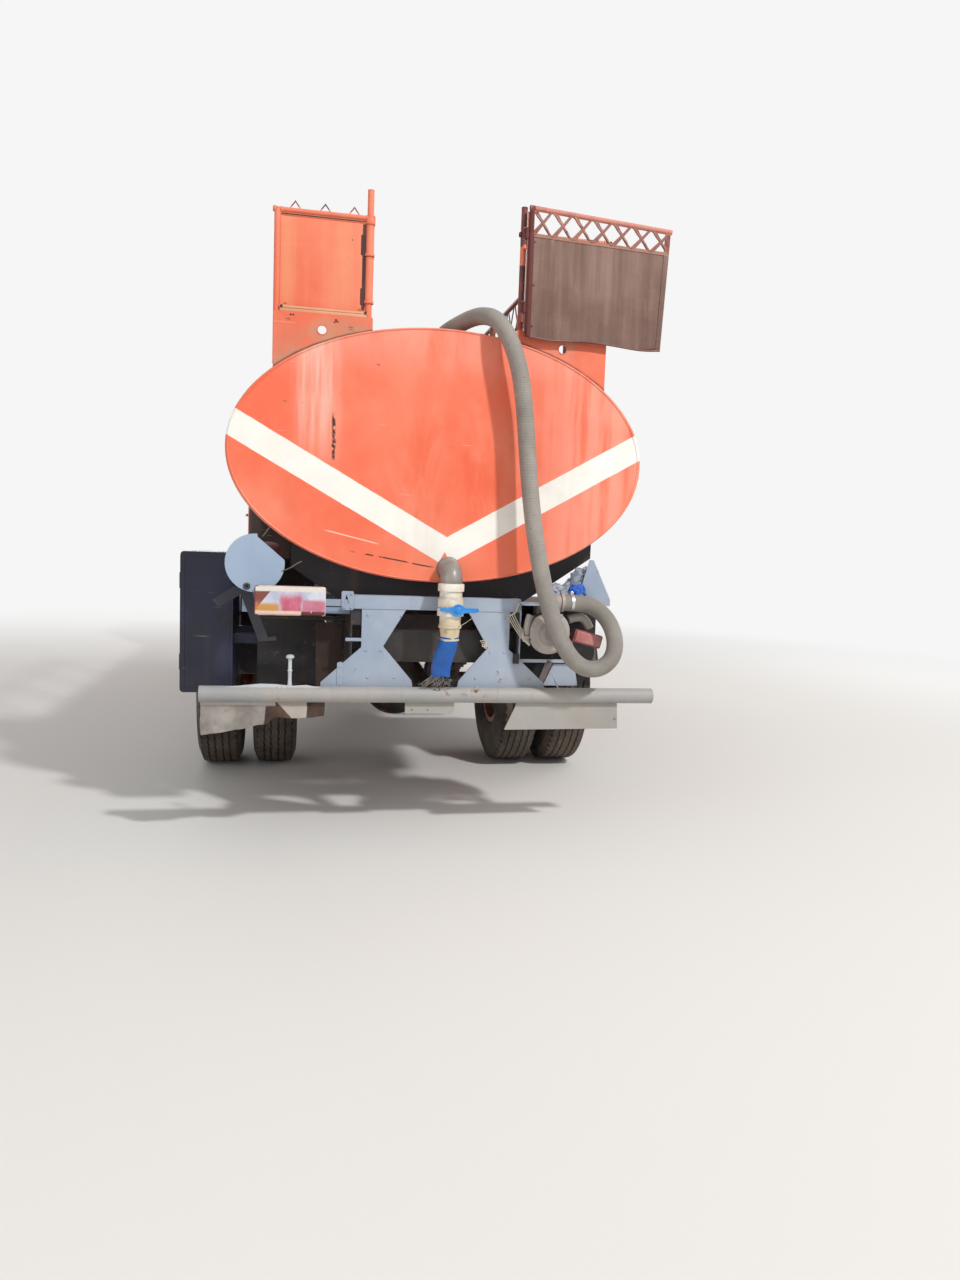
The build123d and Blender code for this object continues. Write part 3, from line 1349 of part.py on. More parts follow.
# Front bumper, a folded channel on two brackets
bumper_back = front_y - 40
jaw_half = 35
jaw_z = 695
jaw_pin_radius = 15
jaw_pin_y = bumper_back - jaw_pin_radius - 5
jaw_slot = 14
notch_side = jaw_half + 30
notch_rise = 60
bumper_low = 560
bumper_rise = 270
bumper_wing_y = 3430
bumper_wing_x = 1190
wing_wall = 35
bumper_inner_x = bumper_wing_x - wing_wall
corner = 80
with BuildPart() as front_bumper:
    with BuildSketch(Plane.XY.offset(bumper_low)):
        with BuildLine():
            Polyline((0, front_y), (bumper_wing_x - corner, front_y), (bumper_wing_x, front_y - corner),
                     (bumper_wing_x, bumper_wing_y), (bumper_inner_x, bumper_wing_y),
                     (bumper_inner_x, front_y - corner - 20),
                     (bumper_wing_x - corner - 18, bumper_back), (0, bumper_back))
            mirror(about=Plane.YZ)
        make_face()
    extrude(amount=bumper_rise)
    for side in (-1, 1):
        brick(sorted((side * (rail_outer_x - rail_flange), side * rail_outer_x)),
              (rail_front, bumper_back), (640, 868))
    brick((-notch_side, notch_side), (bumper_back - 1, front_y + 1),
          (jaw_z - notch_rise, jaw_z + notch_rise), mode=Mode.SUBTRACT)
    brick((-rail_outer_x + rail_flange, rail_outer_x - rail_flange), (rail_front + 20, rail_front + 80),
          (jaw_z - jaw_half, jaw_z + jaw_half))
    brick((-jaw_half, jaw_half), (rail_front + 60, front_y - 5), (jaw_z - jaw_half, jaw_z + jaw_half))
    brick((-jaw_half - 1, jaw_half + 1), (jaw_pin_y - jaw_pin_radius - 10, front_y),
          (jaw_z - jaw_slot, jaw_z + jaw_slot), mode=Mode.SUBTRACT)
    with Locations((0, jaw_pin_y, jaw_z)):
        Cylinder(jaw_pin_radius, 3 * jaw_half, mode=Mode.SUBTRACT)
keep(front_bumper.part, "front_bumper")

# Steps under the doors, ahead of the front wheels
step_rear = front_axle_y + arch_radius + 15
step_front = step_rear + 400
with BuildPart() as steps:
    for side in (-1, 1):
        inner, outer = side * 930, side * 1112
        for y in (step_rear, step_front - 8):
            brick(sorted((inner, outer)), (y, y + 8), (470, cab_bottom))
        for z in (470, 690):
            brick(sorted((inner, outer)), (step_rear, step_front), (z, z + 12))
keep(steps.part, "steps")

# Door mirrors on bent arms
mirror_y = door_front + 115
mirror_arm = bent_pipe(
    [(cab_half_width + seat, mirror_y, 1860), (1196, mirror_y, 1860), (1196, mirror_y, 2320)], 9, 40)
with BuildPart() as mirror_head:
    brick((1152, 1241), (mirror_y, mirror_y + 34), (1960, 2300))
    fillet(mirror_head.edges().filter_by(Axis.Y), 20)
with BuildPart() as one_mirror:
    add(mirror_arm)
    add(mirror_head.part)
with BuildPart() as mirrors:
    add(one_mirror.part)
    add(mirrored(one_mirror.part))
keep(mirrors.part, "mirrors")
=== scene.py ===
import math

import bmesh
import bpy
from mathutils import Matrix, Vector, noise


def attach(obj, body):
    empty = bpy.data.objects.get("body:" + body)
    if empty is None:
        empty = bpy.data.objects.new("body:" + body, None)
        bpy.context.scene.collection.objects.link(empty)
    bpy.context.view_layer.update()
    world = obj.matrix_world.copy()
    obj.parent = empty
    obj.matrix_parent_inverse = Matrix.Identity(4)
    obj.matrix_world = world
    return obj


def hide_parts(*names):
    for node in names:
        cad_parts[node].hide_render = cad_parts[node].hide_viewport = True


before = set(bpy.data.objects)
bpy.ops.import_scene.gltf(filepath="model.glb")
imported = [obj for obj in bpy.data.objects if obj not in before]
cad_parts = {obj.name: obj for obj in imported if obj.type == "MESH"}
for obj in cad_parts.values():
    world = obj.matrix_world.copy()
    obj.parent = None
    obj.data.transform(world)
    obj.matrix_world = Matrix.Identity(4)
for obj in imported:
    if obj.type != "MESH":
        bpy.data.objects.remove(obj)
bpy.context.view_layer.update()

# Places shared with the solids, metres. +Y is the front, the tank's flat end is at tank_rear.
tank_rear = -3.480
tank_front = 1.570
tank_centre = 1.865
tank_half_width = 1.003
tank_half_height = 0.599
rear_axle_y = -1.705
front_axle_y = 2.295
axle_z = 0.526
cab_front = 3.560
cab_rear = 1.900
lid_centre = Vector((0, -1.780, 2.560))
seam_pitch = 0.842
bumper_y, bumper_z = -3.5303, 0.722
pump_x, pump_z = 0.545, 1.035
outlet_x, outlet_y = 0.049, -3.580
rack_rear, rack_bay = -3.457, 0.65
rack_inner, rack_outer = 0.365, 0.785
rack_top = 2.935
gate_width, gate_height = 0.672, 0.591
to_side, to_rear, to_front, upward = (1, 0, 0), (0, -1, 0), (0, 1, 0), (0, 0, 1)


def tint(code):
    """A colour written as six hex digits, as the linear values that a shader takes."""
    parts = (int(code[i : i + 2], 16) / 255 for i in (0, 2, 4))
    return (*(p / 12.92 if p < 0.04045 else ((p + 0.055) / 1.055) ** 2.4 for p in parts), 1.0)


class Tone:
    """A socket in a node tree. Arithmetic on it adds Math nodes."""

    def __init__(self, graph, socket):
        self.graph = graph
        self.socket = socket

    def maths(self, operation, *values):
        return self.graph.node("ShaderNodeMath", {"operation": operation}, dict(enumerate(values)))

    def __add__(self, other):
        return self.maths("ADD", self, other)

    def __sub__(self, other):
        return self.maths("SUBTRACT", self, other)

    def __rsub__(self, other):
        return self.maths("SUBTRACT", other, self)

    def __mul__(self, other):
        return self.maths("MULTIPLY", self, other)

    def __abs__(self):
        return self.maths("ABSOLUTE", self)

    __radd__ = __add__
    __rmul__ = __mul__

    def most(self, other):
        return self.maths("MAXIMUM", self, other)

    def sine(self):
        return self.maths("SINE", self)

    def ramp(self, low, high):
        """0 at low and 1 at high, smooth between the two, whichever is larger."""
        limits = {"Value": self, "From Min": low, "From Max": high}
        return self.graph.node("ShaderNodeMapRange", {"interpolation_type": "SMOOTHSTEP"}, limits)


class Graph:
    """A node tree of a material or of the world."""

    def __init__(self, tree):
        self.tree = tree

    def node(self, kind, settings=None, sockets=None, output=0):
        """Add a node, set it, feed its sockets with values or tones, and return one output."""
        made = self.tree.nodes.new(kind)
        for name, value in (settings or {}).items():
            setattr(made, name, value)
        for key, value in (sockets or {}).items():
            self.feed(made.inputs[key], value)
        return Tone(self, made.outputs[output])

    def feed(self, socket, value):
        if isinstance(value, Tone):
            self.tree.links.new(value.socket, socket)
        else:
            socket.default_value = value

    def seen(self):
        """1 for what the camera sees, also mirrored or through glass, and 0 for what lights the truck."""
        rays = [f"Is {kind} Ray" for kind in ("Camera", "Glossy", "Transmission")]
        camera, glossy, through = (self.node("ShaderNodeLightPath", output=ray) for ray in rays)
        return camera.most(glossy).most(through)


class Finish(Graph):
    """One material, with the coordinates of the piece that wears it."""

    def __init__(self, name):
        self.material = bpy.data.materials.new(name)
        self.material.use_nodes = True
        super().__init__(self.material.node_tree)
        self.shader = self.tree.nodes["Principled BSDF"]
        self.place = self.node("ShaderNodeTexCoord", output="Object")
        self.x, self.y, self.z = self.split(self.place)

    def split(self, vector):
        first = self.node("ShaderNodeSeparateXYZ", sockets={"Vector": vector})
        return [Tone(self, socket) for socket in first.socket.node.outputs]

    def mix(self, factor, first, second):
        """Blend two colours, each a tone or six hex digits."""
        first, second = (tint(c) if isinstance(c, str) else c for c in (first, second))
        return self.node("ShaderNodeMix", {"data_type": "RGBA"}, {0: factor, 6: first, 7: second}, output=2)

    def mottled(self, scale, detail, low, high, first, second):
        """One colour with patches of another, where a noise goes from low to high."""
        return self.mix(self.noise(scale, detail).ramp(low, high), first, second)

    def stretched(self, scale):
        return self.node("ShaderNodeMapping", sockets={"Vector": self.place, "Scale": scale})

    def noise(self, scale, detail=5.0, stretch=(1, 1, 1), roughness=0.6, distortion=0.0):
        sockets = {
            "Vector": self.stretched(stretch),
            "Scale": scale,
            "Detail": detail,
            "Roughness": roughness,
            "Distortion": distortion,
        }
        return self.node("ShaderNodeTexNoise", sockets=sockets, output="Fac")

    def cells(self, scale, feature="F1"):
        sockets = {"Vector": self.stretched((1, 1, 1)), "Scale": scale}
        return self.node("ShaderNodeTexVoronoi", {"feature": feature}, sockets, output="Distance")

    def upward(self):
        """1 on faces that look up, 0 on walls and undersides."""
        normal = self.node("ShaderNodeNewGeometry", output="Normal")
        return self.split(normal)[2].ramp(0.25, 0.95)

    def relief(self, height, depth, under=None):
        """A bump of the given depth in metres, over another normal if one is given."""
        sockets = {"Height": height, "Distance": depth, "Strength": 1.0}
        if under:
            sockets["Normal"] = under
        return self.node("ShaderNodeBump", sockets=sockets, output="Normal")

    def wear(self, **channels):
        """Set or feed the shader's sockets, Base_Color for Base Color and so on. Returns the material."""
        for name, value in channels.items():
            self.feed(self.shader.inputs[name.replace("_", " ")], value)
        return self.material


rust_dark = "4a2a1e"
rust_light = "8f4f2f"
dust = "b3a28c"


def rust_colour(f):
    return f.mottled(22, 6, 0.35, 0.7, rust_dark, rust_light)


def painted(name, fresh, faded, rusty=0.3, dusty=0.35, runs=0.4, roughness=0.55, marks=None):
    """Old paint: faded patches, dirt runs, rust through chips and dust on what looks up."""
    f = Finish(name)
    fade = f.noise(1.1, 4).ramp(0.36, 0.64) * 0.75 + f.noise(7, 6).ramp(0.4, 0.7) * 0.25
    colour = f.mix(fade, fresh, faded)
    if marks:
        colour = marks(f, colour)
    run = f.noise(7, 5, stretch=(1, 1, 0.06)).ramp(0.52, 0.78) * f.noise(2.1, 3).ramp(0.35, 0.65)
    colour = f.mix(run * runs, colour, "6d5446")
    fine = f.noise(60, 7, roughness=0.75)
    grain = f.noise(17, 9, roughness=0.72) + fine * 0.12 + f.noise(1.7, 3).ramp(0.38, 0.62) * 0.05
    chip = grain.ramp(0.80 - 0.15 * rusty, 0.82 - 0.15 * rusty)
    halo = grain.ramp(0.73 - 0.15 * rusty, 0.81 - 0.15 * rusty)
    colour = f.mix(halo * 0.3, colour, "a5643f")
    colour = f.mix(chip, colour, rust_colour(f))
    settled = f.upward() * f.noise(3.5, 5).ramp(0.2, 0.7) * dusty
    low = f.z.ramp(1.25, 0.45) * f.noise(4, 5).ramp(0.25, 0.75) * dusty
    colour = f.mix(settled.most(low), colour, dust)
    scratch = f.noise(
        95, 2, stretch=(0.05, 0.05, 1), distortion=0.3
    ).ramp(0.68, 0.72) * f.noise(3, 2).ramp(0.5, 0.7)
    colour = f.mix(scratch * 0.3, colour, "d8cbbd")
    rough = f.noise(14, 4) * 0.2 + chip * 0.25 + settled * 0.2 + (roughness - 0.1)
    under = f.relief(f.noise(2.6, 2), 0.012)
    skin = f.relief(fine * 0.4 + chip * 0.8, 0.0012, under)
    return f.wear(Base_Color=colour, Roughness=rough, Normal=skin)


def stripe(f, start, end, low, high):
    """1 in a straight band seen from behind: start and end (x, z) on its line, low and high its edges."""
    run = (end[0] - start[0], end[1] - start[1])
    length = math.hypot(*run)
    along = ((f.x - start[0]) * (run[0] / length)) + ((f.z - start[1]) * (run[1] / length))
    aside = ((f.x - start[0]) * (-run[1] / length)) + ((f.z - start[1]) * (run[0] / length))
    edge = f.noise(30, 3) * 0.004
    inside = (aside + edge).ramp(low - 0.002, low + 0.002) * (aside + edge).ramp(high + 0.002, high - 0.002)
    return inside * along.ramp(-0.004, 0.0) * along.ramp(length + 0.004, length)


def tank_marks(f, colour):
    """The end's white chevron, pale dusty band, deeper orange middle and the cracks along its seams."""
    end = f.y.ramp(tank_rear + 0.03, tank_rear + 0.02)
    middle = abs(f.x - 0.05).ramp(0.42, 0.1) * abs(f.z - 1.80).ramp(0.45, 0.1)
    blotch = f.noise(3.2, 5, stretch=(1.6, 1, 0.6), distortion=0.8).ramp(0.42, 0.62)
    colour = f.mix(middle * blotch * end * 0.7, colour, "e65a34")
    right = f.x.ramp(0.35, 0.75) * end * f.noise(4, 4, stretch=(3, 1, 0.25)).ramp(0.35, 0.6)
    colour = f.mix(right * 0.55, colour, "f9ac96")
    top = f.z.ramp(2.15, 2.42) * end * f.noise(5, 4, stretch=(2, 1, 0.4)).ramp(0.3, 0.6)
    colour = f.mix(top * 0.5, colour, "f8a18b")
    band = abs(f.x + 0.595 + (f.z - 2.2) * 0.03).ramp(0.135, 0.05) * f.z.ramp(1.70, 2.10) * end
    colour = f.mix(band * (f.noise(6, 6, stretch=(4, 1, 0.3)).ramp(0.3, 0.7) * 0.7 + 0.12), colour, "e6c0ae")
    arms = stripe(f, (-1.02, 1.998), (0.030, 1.420), -0.062, 0.062)
    arms = arms.most(stripe(f, (0.030, 1.4155), (1.02, 1.988), -0.062, 0.058))
    white = f.mix(f.noise(6, 6).ramp(0.35, 0.8) * 0.22, "f4f0e8", "cdbba6")
    colour = f.mix(arms * end, colour, white)
    crack = abs(f.x + 0.515 + f.noise(14, 3) * 0.02 - 0.01).ramp(0.012, 0.003)
    crack = crack * abs(f.z - 1.93).ramp(0.115, 0.09) * f.noise(26, 4).ramp(0.4, 0.5)
    bow = f.noise(2.2, 1) * 0.05
    lines = abs(f.z - 1.372 + (f.x + 0.23) * 0.12 + bow - 0.025).ramp(0.005, 0.0015)
    lines = lines * abs(f.x + 0.22).ramp(0.22, 0.16) * f.noise(17, 3).ramp(0.35, 0.45)
    colour = f.mix(crack.most(lines) * end, colour, "3a1b12")
    pale_scratch = abs(f.z - 1.475 + (f.x + 0.45) * 0.22).ramp(0.004, 0.001) * abs(f.x + 0.42).ramp(0.14, 0.1)
    colour = f.mix(pale_scratch * end, colour, "f3c9b4")
    rim = f.noise(18, 5).ramp(0.35, 0.6) * f.y.ramp(tank_rear + 0.05, tank_rear)
    side = 1 - end
    foot = f.z.ramp(1.62, 1.27) * side * f.noise(3, 5, stretch=(1, 0.5, 1)).ramp(0.25, 0.7)
    colour = f.mix(foot * 0.55, colour, "5e463a")
    colour = f.mix(rim * side * 0.6, colour, "7b3a26")
    turns = f.y * (1 / seam_pitch)
    seam = abs(turns.maths("FRACT", turns) - 0.5).ramp(0.006, 0.0025) * side
    return f.mix(seam * 0.7, colour, "8c3b25")


def end_plate_marks(f, colour):
    """Dust and dark grease in the joint where the base plates meet the barrel."""
    reach = (f.x * f.x) * (1 / tank_half_width**2) + (f.z - tank_centre) * (f.z - tank_centre) * (
        1 / tank_half_height**2
    )
    seam = abs(reach - 1.0 + f.noise(9, 3) * 0.03 - 0.015).ramp(0.035, 0.004)
    dirty = abs(reach - 1.0).ramp(0.4, 0.05) * f.noise(6, 5).ramp(0.3, 0.6) * f.x.ramp(0.1, -0.2)
    colour = f.mix(dirty * 0.6, colour, "a98a6f")
    runs = f.noise(12, 4, stretch=(1, 1, 0.05)).ramp(0.35, 0.7) * f.z.ramp(2.49, 2.51)
    colour = f.mix(runs * 0.45, colour, "e09a6c")
    ring = ((abs(f.x) - 0.577) * (abs(f.x) - 0.577) + (f.z - 2.412) * (f.z - 2.412)).ramp(0.006, 0.0005)
    colour = f.mix(ring * f.noise(9, 4).ramp(0.3, 0.6) * 0.6, colour, "b98f70")
    return f.mix(seam * 0.8, colour, "5a2a1b")


def tank_finish(name):
    return painted(
        name, "ec6a49", "f48a6b", rusty=0.02, dusty=0.55, runs=0.12, roughness=0.5, marks=tank_marks
    )


def rack_rust_and_shade(f, colour):
    """Dark maroon, partly rust and partly painted shade, along the racks' insides and on the wires over the
    left one; painted shade on the gate's post.
    """
    # Rust and painted shade: the racks' far parts and the wires over the left one in dark maroon
    inside = f.y.ramp(-3.445, -3.425).most(f.z.ramp(2.950, 2.956) * f.x.ramp(-0.39, -0.40))
    # Painted shade: the gate's post in dark maroon, but for its hinge
    post = abs(f.x - 0.365).ramp(0.030, 0.026) * f.z.ramp(2.488, 2.500) * f.y.ramp(-3.425, -3.435)
    shaded_post = post * abs(f.z - 2.833).ramp(0.042, 0.045)
    return f.mix(inside.most(shaded_post) * (f.noise(4, 5).ramp(0.3, 0.6) * 0.4 + 0.55), colour, "4b231f")


def rack_finish(name, marks):
    return painted(name, "e06a4a", "ec8a6c", rusty=0.22, dusty=0.35, runs=0.3, marks=marks)


def frame_marks(f, colour):
    """Bare brown iron on the short strut."""
    strut = stripe(f, (0.515, 0.735), (0.583, 0.885), -0.020, 0.020) * f.y.ramp(-3.4875, -3.4865)
    return f.mix(strut * 0.9, colour, "3f322c")


def grey_blue(name):
    return painted(name, "8f9db1", "aab5c4", rusty=0.25, dusty=0.3, runs=0.3, marks=frame_marks)


def locker_marks(f, colour):
    """A dark greasy spot on the tall locker's back."""
    spot = ((f.x + 1.019) * (f.x + 1.019) + (f.z - 1.03) * (f.z - 1.03)).ramp(0.0035, 0.0008)
    return f.mix(spot * f.noise(14, 4).ramp(0.25, 0.5) * 0.8, colour, "0c0c12")


def navy(name):
    return painted(
        name, "131830", "1f264a", rusty=0.1, dusty=0.07, runs=0.2, roughness=0.45, marks=locker_marks
    )


def dark_iron(name, base="221f1e", pale="3d3430", rusty=0.5, greasy=0.4):
    """Bare or once black iron: rust, oil and road dust."""
    f = Finish(name)
    colour = f.mottled(5, 6, 0.35, 0.7, base, pale)
    colour = f.mix(
        f.noise(8, 8, roughness=0.7).ramp(0.62 - 0.2 * rusty, 0.72 - 0.2 * rusty), colour, rust_colour(f)
    )
    oil = f.noise(3, 4).ramp(0.5, 0.62) * greasy
    colour = f.mix(oil, colour, "120f0d")
    colour = f.mix(f.upward() * f.noise(6, 4).ramp(0.25, 0.7) * 0.6, colour, dust)
    rough = f.noise(11, 4) * 0.25 + 0.5 - oil * 0.3
    skin = f.relief(f.noise(70, 6, roughness=0.75), 0.0015)
    return f.wear(Base_Color=colour, Roughness=rough, Normal=skin, Metallic=0.15)


def rust_sheet(name):
    """Bare sheet gone brown, with vertical runs and pale bloom, orange left on its tubes and painted shade on
    its left tube.
    """
    f = Finish(name)
    runs = f.noise(16, 6, stretch=(1, 1, 0.05), roughness=0.65)
    colour = f.mix(runs.ramp(0.3, 0.7), "6e5248", "8b7064")
    colour = f.mix(f.noise(2.4, 5).ramp(0.4, 0.66) * 0.55, colour, "5a3d33")
    bloom = f.noise(6, 7, stretch=(1.6, 1, 0.35)).ramp(0.58, 0.76)
    colour = f.mix(bloom * 0.5, colour, "b5a79b")
    lattice = (f.z + (f.x - 0.39) * 0.036).ramp(2.932, 2.934)
    colour = f.mix(lattice, colour, f.mottled(18, 5, 0.35, 0.65, "572b2a", "945a50"))
    top_tube = (f.z + (f.x - 0.39) * 0.064).ramp(3.029, 3.033)
    colour = f.mix(top_tube * (f.noise(14, 6).ramp(0.25, 0.5) * 0.5 + 0.5), colour, "c98574")
    belt = abs(f.z + (f.x - 0.39) * 0.036 - 2.922).ramp(0.010, 0.008)
    colour = f.mix(belt * 0.5, colour, "b8806c")
    # Painted shade: the gate's left tube in dark red
    colour = f.mix(f.x.ramp(0.405, 0.401) * 0.9, colour, "5e2422")
    dots = f.cells(38).ramp(0.10, 0.05) * f.noise(5, 2).ramp(0.5, 0.6)
    colour = f.mix(dots * 0.8, colour, "3b241b")
    skin = f.relief(f.noise(2.0, 2, stretch=(1, 1, 0.6)), 0.02)
    skin = f.relief(f.noise(85, 5), 0.0008, skin)
    return f.wear(Base_Color=colour, Roughness=f.noise(10, 4) * 0.25 + 0.62, Normal=skin, Metallic=0.1)


def tyre_rubber(name):
    f = Finish(name)
    colour = f.mottled(6, 6, 0.35, 0.7, "2b2725", "3d3733")
    worn = f.noise(3, 5).ramp(0.3, 0.75)
    colour = f.mix(worn * 0.55, colour, "7a6a5b")
    colour = f.mix(f.noise(34, 5).ramp(0.62, 0.75) * 0.5, colour, "a08d78")
    crack = f.cells(55, feature="DISTANCE_TO_EDGE").ramp(0.03, 0.0)
    skin = f.relief(f.noise(120, 4) * 0.6 - crack * 0.7, 0.0010)
    return f.wear(Base_Color=colour, Roughness=f.noise(9, 4) * 0.2 + 0.72, Normal=skin)


def plain_plastic(name, base, pale, roughness=0.5, dusty=0.3):
    """Moulded plastic with a fine grain, a little bleached and dusty."""
    f = Finish(name)
    colour = f.mottled(4, 5, 0.35, 0.7, base, pale)
    colour = f.mix(f.noise(40, 4).ramp(0.62, 0.7) * 0.35, colour, "6d6156")
    colour = f.mix(f.upward() * f.noise(6, 4).ramp(0.2, 0.7) * dusty, colour, dust)
    skin = f.relief(f.noise(260, 3), 0.0004)
    return f.wear(Base_Color=colour, Roughness=f.noise(12, 3) * 0.2 + roughness - 0.1, Normal=skin)


def pipe_finish(name):
    """Grey elbow above, cream fittings below, smeared with dirt at the joints."""
    f = Finish(name)
    elbow = f.z.ramp(1.262, 1.268)
    cream = f.mottled(9, 5, 0.35, 0.7, "ece6db", "d9cebb")
    cream = f.mix(f.z.ramp(1.112, 1.080) * 0.75, cream, "cdb78c")
    colour = f.mix(elbow, cream, f.mottled(8, 5, 0.3, 0.7, "77716c", "99928b"))
    joints = abs(f.z - 1.197).ramp(0.012, 0.003).most(abs(f.z - 1.155).ramp(0.012, 0.003))
    colour = f.mix(joints * f.noise(30, 3).ramp(0.3, 0.6) * 0.35, colour, "8a7a66")
    colour = f.mix(f.noise(30, 6).ramp(0.6, 0.72) * 0.5, colour, "5f5346")
    return f.wear(Base_Color=colour, Roughness=elbow * -0.15 + 0.5, Normal=f.relief(f.noise(90, 3), 0.0005))


def lamp_finish(name):
    """Dull red housings of the tail lamps, paler at the left one's top, and clear ribbed glass in front."""
    f = Finish(name)
    front = f.y.ramp(3.0, 3.1)
    left = f.x.ramp(-0.2, -0.3)
    lens = f.mix(left, "a3615d", f.mix(f.z.ramp(1.12, 1.22), "5a2626", "b7a7a4"))
    rib = (f.x * 700).sine()
    clear = f.mottled(5, 4, 0.3, 0.7, "c4ccd0", "9da6aa")
    colour = f.mix(front, lens, clear)
    colour = f.mix(f.noise(26, 5).ramp(0.6, 0.75) * 0.4, colour, dust)
    return f.wear(
        Base_Color=colour, Roughness=f.noise(9, 3) * 0.2 + 0.22, Normal=f.relief(rib, 0.0006), Coat_Weight=0.3
    )


def hose_rubber(name):
    """Ribbed suction hose, its ribs across its length and dust on its back."""
    f = Finish(name)
    u, v, _ = f.split(f.node("ShaderNodeTexCoord", output="UV"))
    rib = (u * 2600 + v * 6.2832).sine()
    colour = f.mottled(5, 5, 0.35, 0.7, "8c867f", "9f988f")
    colour = f.mix(f.noise(2.2, 4).ramp(0.5, 0.7) * 0.5, colour, "736d64")
    colour = f.mix(f.noise(42, 4).ramp(0.62, 0.72) * 0.5, colour, "5f5a52")
    skin = f.relief(rib, 0.0004)
    skin = f.relief(f.noise(120, 4), 0.0006, skin)
    return f.wear(Base_Color=colour, Roughness=f.noise(10, 4) * 0.15 + 0.62, Normal=skin)


def glass_finish(name):
    f = Finish(name)
    film = f.noise(3, 5).ramp(0.45, 0.75) * 0.25
    wiped = f.mix(film, "8fa09f", "b7ab98")
    return f.wear(
        Base_Color=wiped, Roughness=film * 0.6 + 0.06, Alpha=film * 0.6 + 0.24, Specular_IOR_Level=0.7
    )


def woven(name, base, pale, pitch=900.0):
    """Plain weave cloth, faded and stained."""
    f = Finish(name)
    warp = (f.x * pitch).sine()
    weft = (f.z * pitch).sine()
    colour = f.mottled(5, 6, 0.3, 0.7, base, pale)
    colour = f.mix(f.noise(13, 6).ramp(0.55, 0.75) * 0.5, colour, "6b5d4e")
    skin = f.relief(warp * 0.5 + weft * 0.5, 0.0006)
    return f.wear(Base_Color=colour, Roughness=0.85, Normal=skin)


def leather(name):
    f = Finish(name)
    grain = f.cells(240, feature="DISTANCE_TO_EDGE").ramp(0.0, 0.06)
    colour = f.mottled(6, 5, 0.35, 0.7, "2b2624", "3f3733")
    colour = f.mix(f.noise(3, 5).ramp(0.55, 0.75) * 0.5, colour, "6f6258")
    return f.wear(Base_Color=colour, Roughness=f.noise(8, 4) * 0.2 + 0.42, Normal=f.relief(grain, 0.0006))


def plain_metal(name, base, pale, metallic=0.8, roughness=0.35, rusty=0.3):
    """Bright metal gone dull, with brushed streaks and a little rust."""
    f = Finish(name)
    colour = f.mottled(9, 6, 0.3, 0.7, base, pale)
    spots = f.noise(34, 7, roughness=0.7).ramp(0.68 - 0.14 * rusty, 0.74 - 0.14 * rusty)
    colour = f.mix(spots, colour, rust_colour(f))
    colour = f.mix(f.upward() * f.noise(7, 4).ramp(0.3, 0.7) * 0.4, colour, dust)
    rough = f.noise(24, 4) * 0.2 + spots * 0.4 + (roughness - 0.1)
    return f.wear(
        Base_Color=colour, Roughness=rough, Metallic=metallic, Normal=f.relief(f.noise(160, 4), 0.0004)
    )


def lens(name, base, pale, roughness=0.22):
    """A moulded lamp lens with fine ribs, bleached in patches and dusty."""
    f = Finish(name)
    colour = f.mottled(8, 5, 0.3, 0.72, base, pale)
    colour = f.mix(f.noise(26, 5).ramp(0.6, 0.75) * 0.4, colour, "8d7f70")
    rib = (f.x * 900).sine()
    rough = f.noise(9, 3) * 0.2 + roughness
    return f.wear(Base_Color=colour, Roughness=rough, Normal=f.relief(rib, 0.0005), Coat_Weight=0.3)


def left_lens(name):
    """Left tail lens: brown and amber at its left end, a pink cloud, bleached glass above and beside it."""
    f = Finish(name)
    wave = f.noise(16, 5) * 0.05 - 0.025
    glass = f.mottled(11, 4, 0.35, 0.7, "b3b6cc", "d2d4de")
    pink = f.mottled(15, 5, 0.3, 0.7, "bb4463", "cf7189")
    hump = abs(f.x + 0.697 + wave).ramp(0.060, 0.034) * (f.z + wave * 0.6).ramp(1.212, 1.168)
    beside = (f.x + wave * 0.3).ramp(-0.652, -0.640) * (f.z + wave * 0.5).ramp(1.178, 1.158)
    colour = f.mix(hump.most(beside * 0.85), glass, pink)
    amber = (f.x + wave * 0.5).ramp(-0.742, -0.760) * (f.z + wave * 0.4).ramp(1.160, 1.138)
    colour = f.mix(amber, colour, "cf9347")
    slant = (f.x - (f.z - 1.117) * 0.755 + wave * 0.1).ramp(-0.856, -0.860)
    colour = f.mix(slant, colour, f.mix(f.z.ramp(1.125, 1.175), "cc7a48", "7c3a31"))
    colour = f.mix((f.z + wave * 0.1).ramp(1.203, 1.210), colour, "ded4ca")
    colour = f.mix((f.z + wave * 0.1).ramp(1.120, 1.113) * f.x.ramp(-0.648, -0.652), colour, "eccab9")
    colour = f.mix((f.z + wave * 0.1).ramp(1.118, 1.112) * f.x.ramp(-0.652, -0.648), colour, "641f27")
    colour = f.mix(f.noise(30, 5).ramp(0.62, 0.75) * 0.4, colour, "d8d2cc")
    rib = (f.x * 800).sine()
    return f.wear(
        Base_Color=colour, Roughness=f.noise(9, 3) * 0.2 + 0.25, Normal=f.relief(rib, 0.0005), Coat_Weight=0.3
    )


def lens_rim_finish(name):
    """The lens's rim: bleached above and at the right, dark red where it is cracked below."""
    f = Finish(name)
    colour = f.mottled(20, 5, 0.35, 0.65, "cdb4ab", "e6d5cb")
    colour = f.mix(f.x.ramp(-0.842, -0.848), colour, "7d3330")
    cracked = f.x.ramp(-0.654, -0.650) * f.x.ramp(-0.553, -0.557) * f.z.ramp(1.112, 1.106)
    colour = f.mix(cracked, colour, "571a20")
    return f.wear(
        Base_Color=colour, Roughness=f.noise(9, 3) * 0.2 + 0.3, Normal=f.relief(f.noise(60, 4), 0.0006)
    )


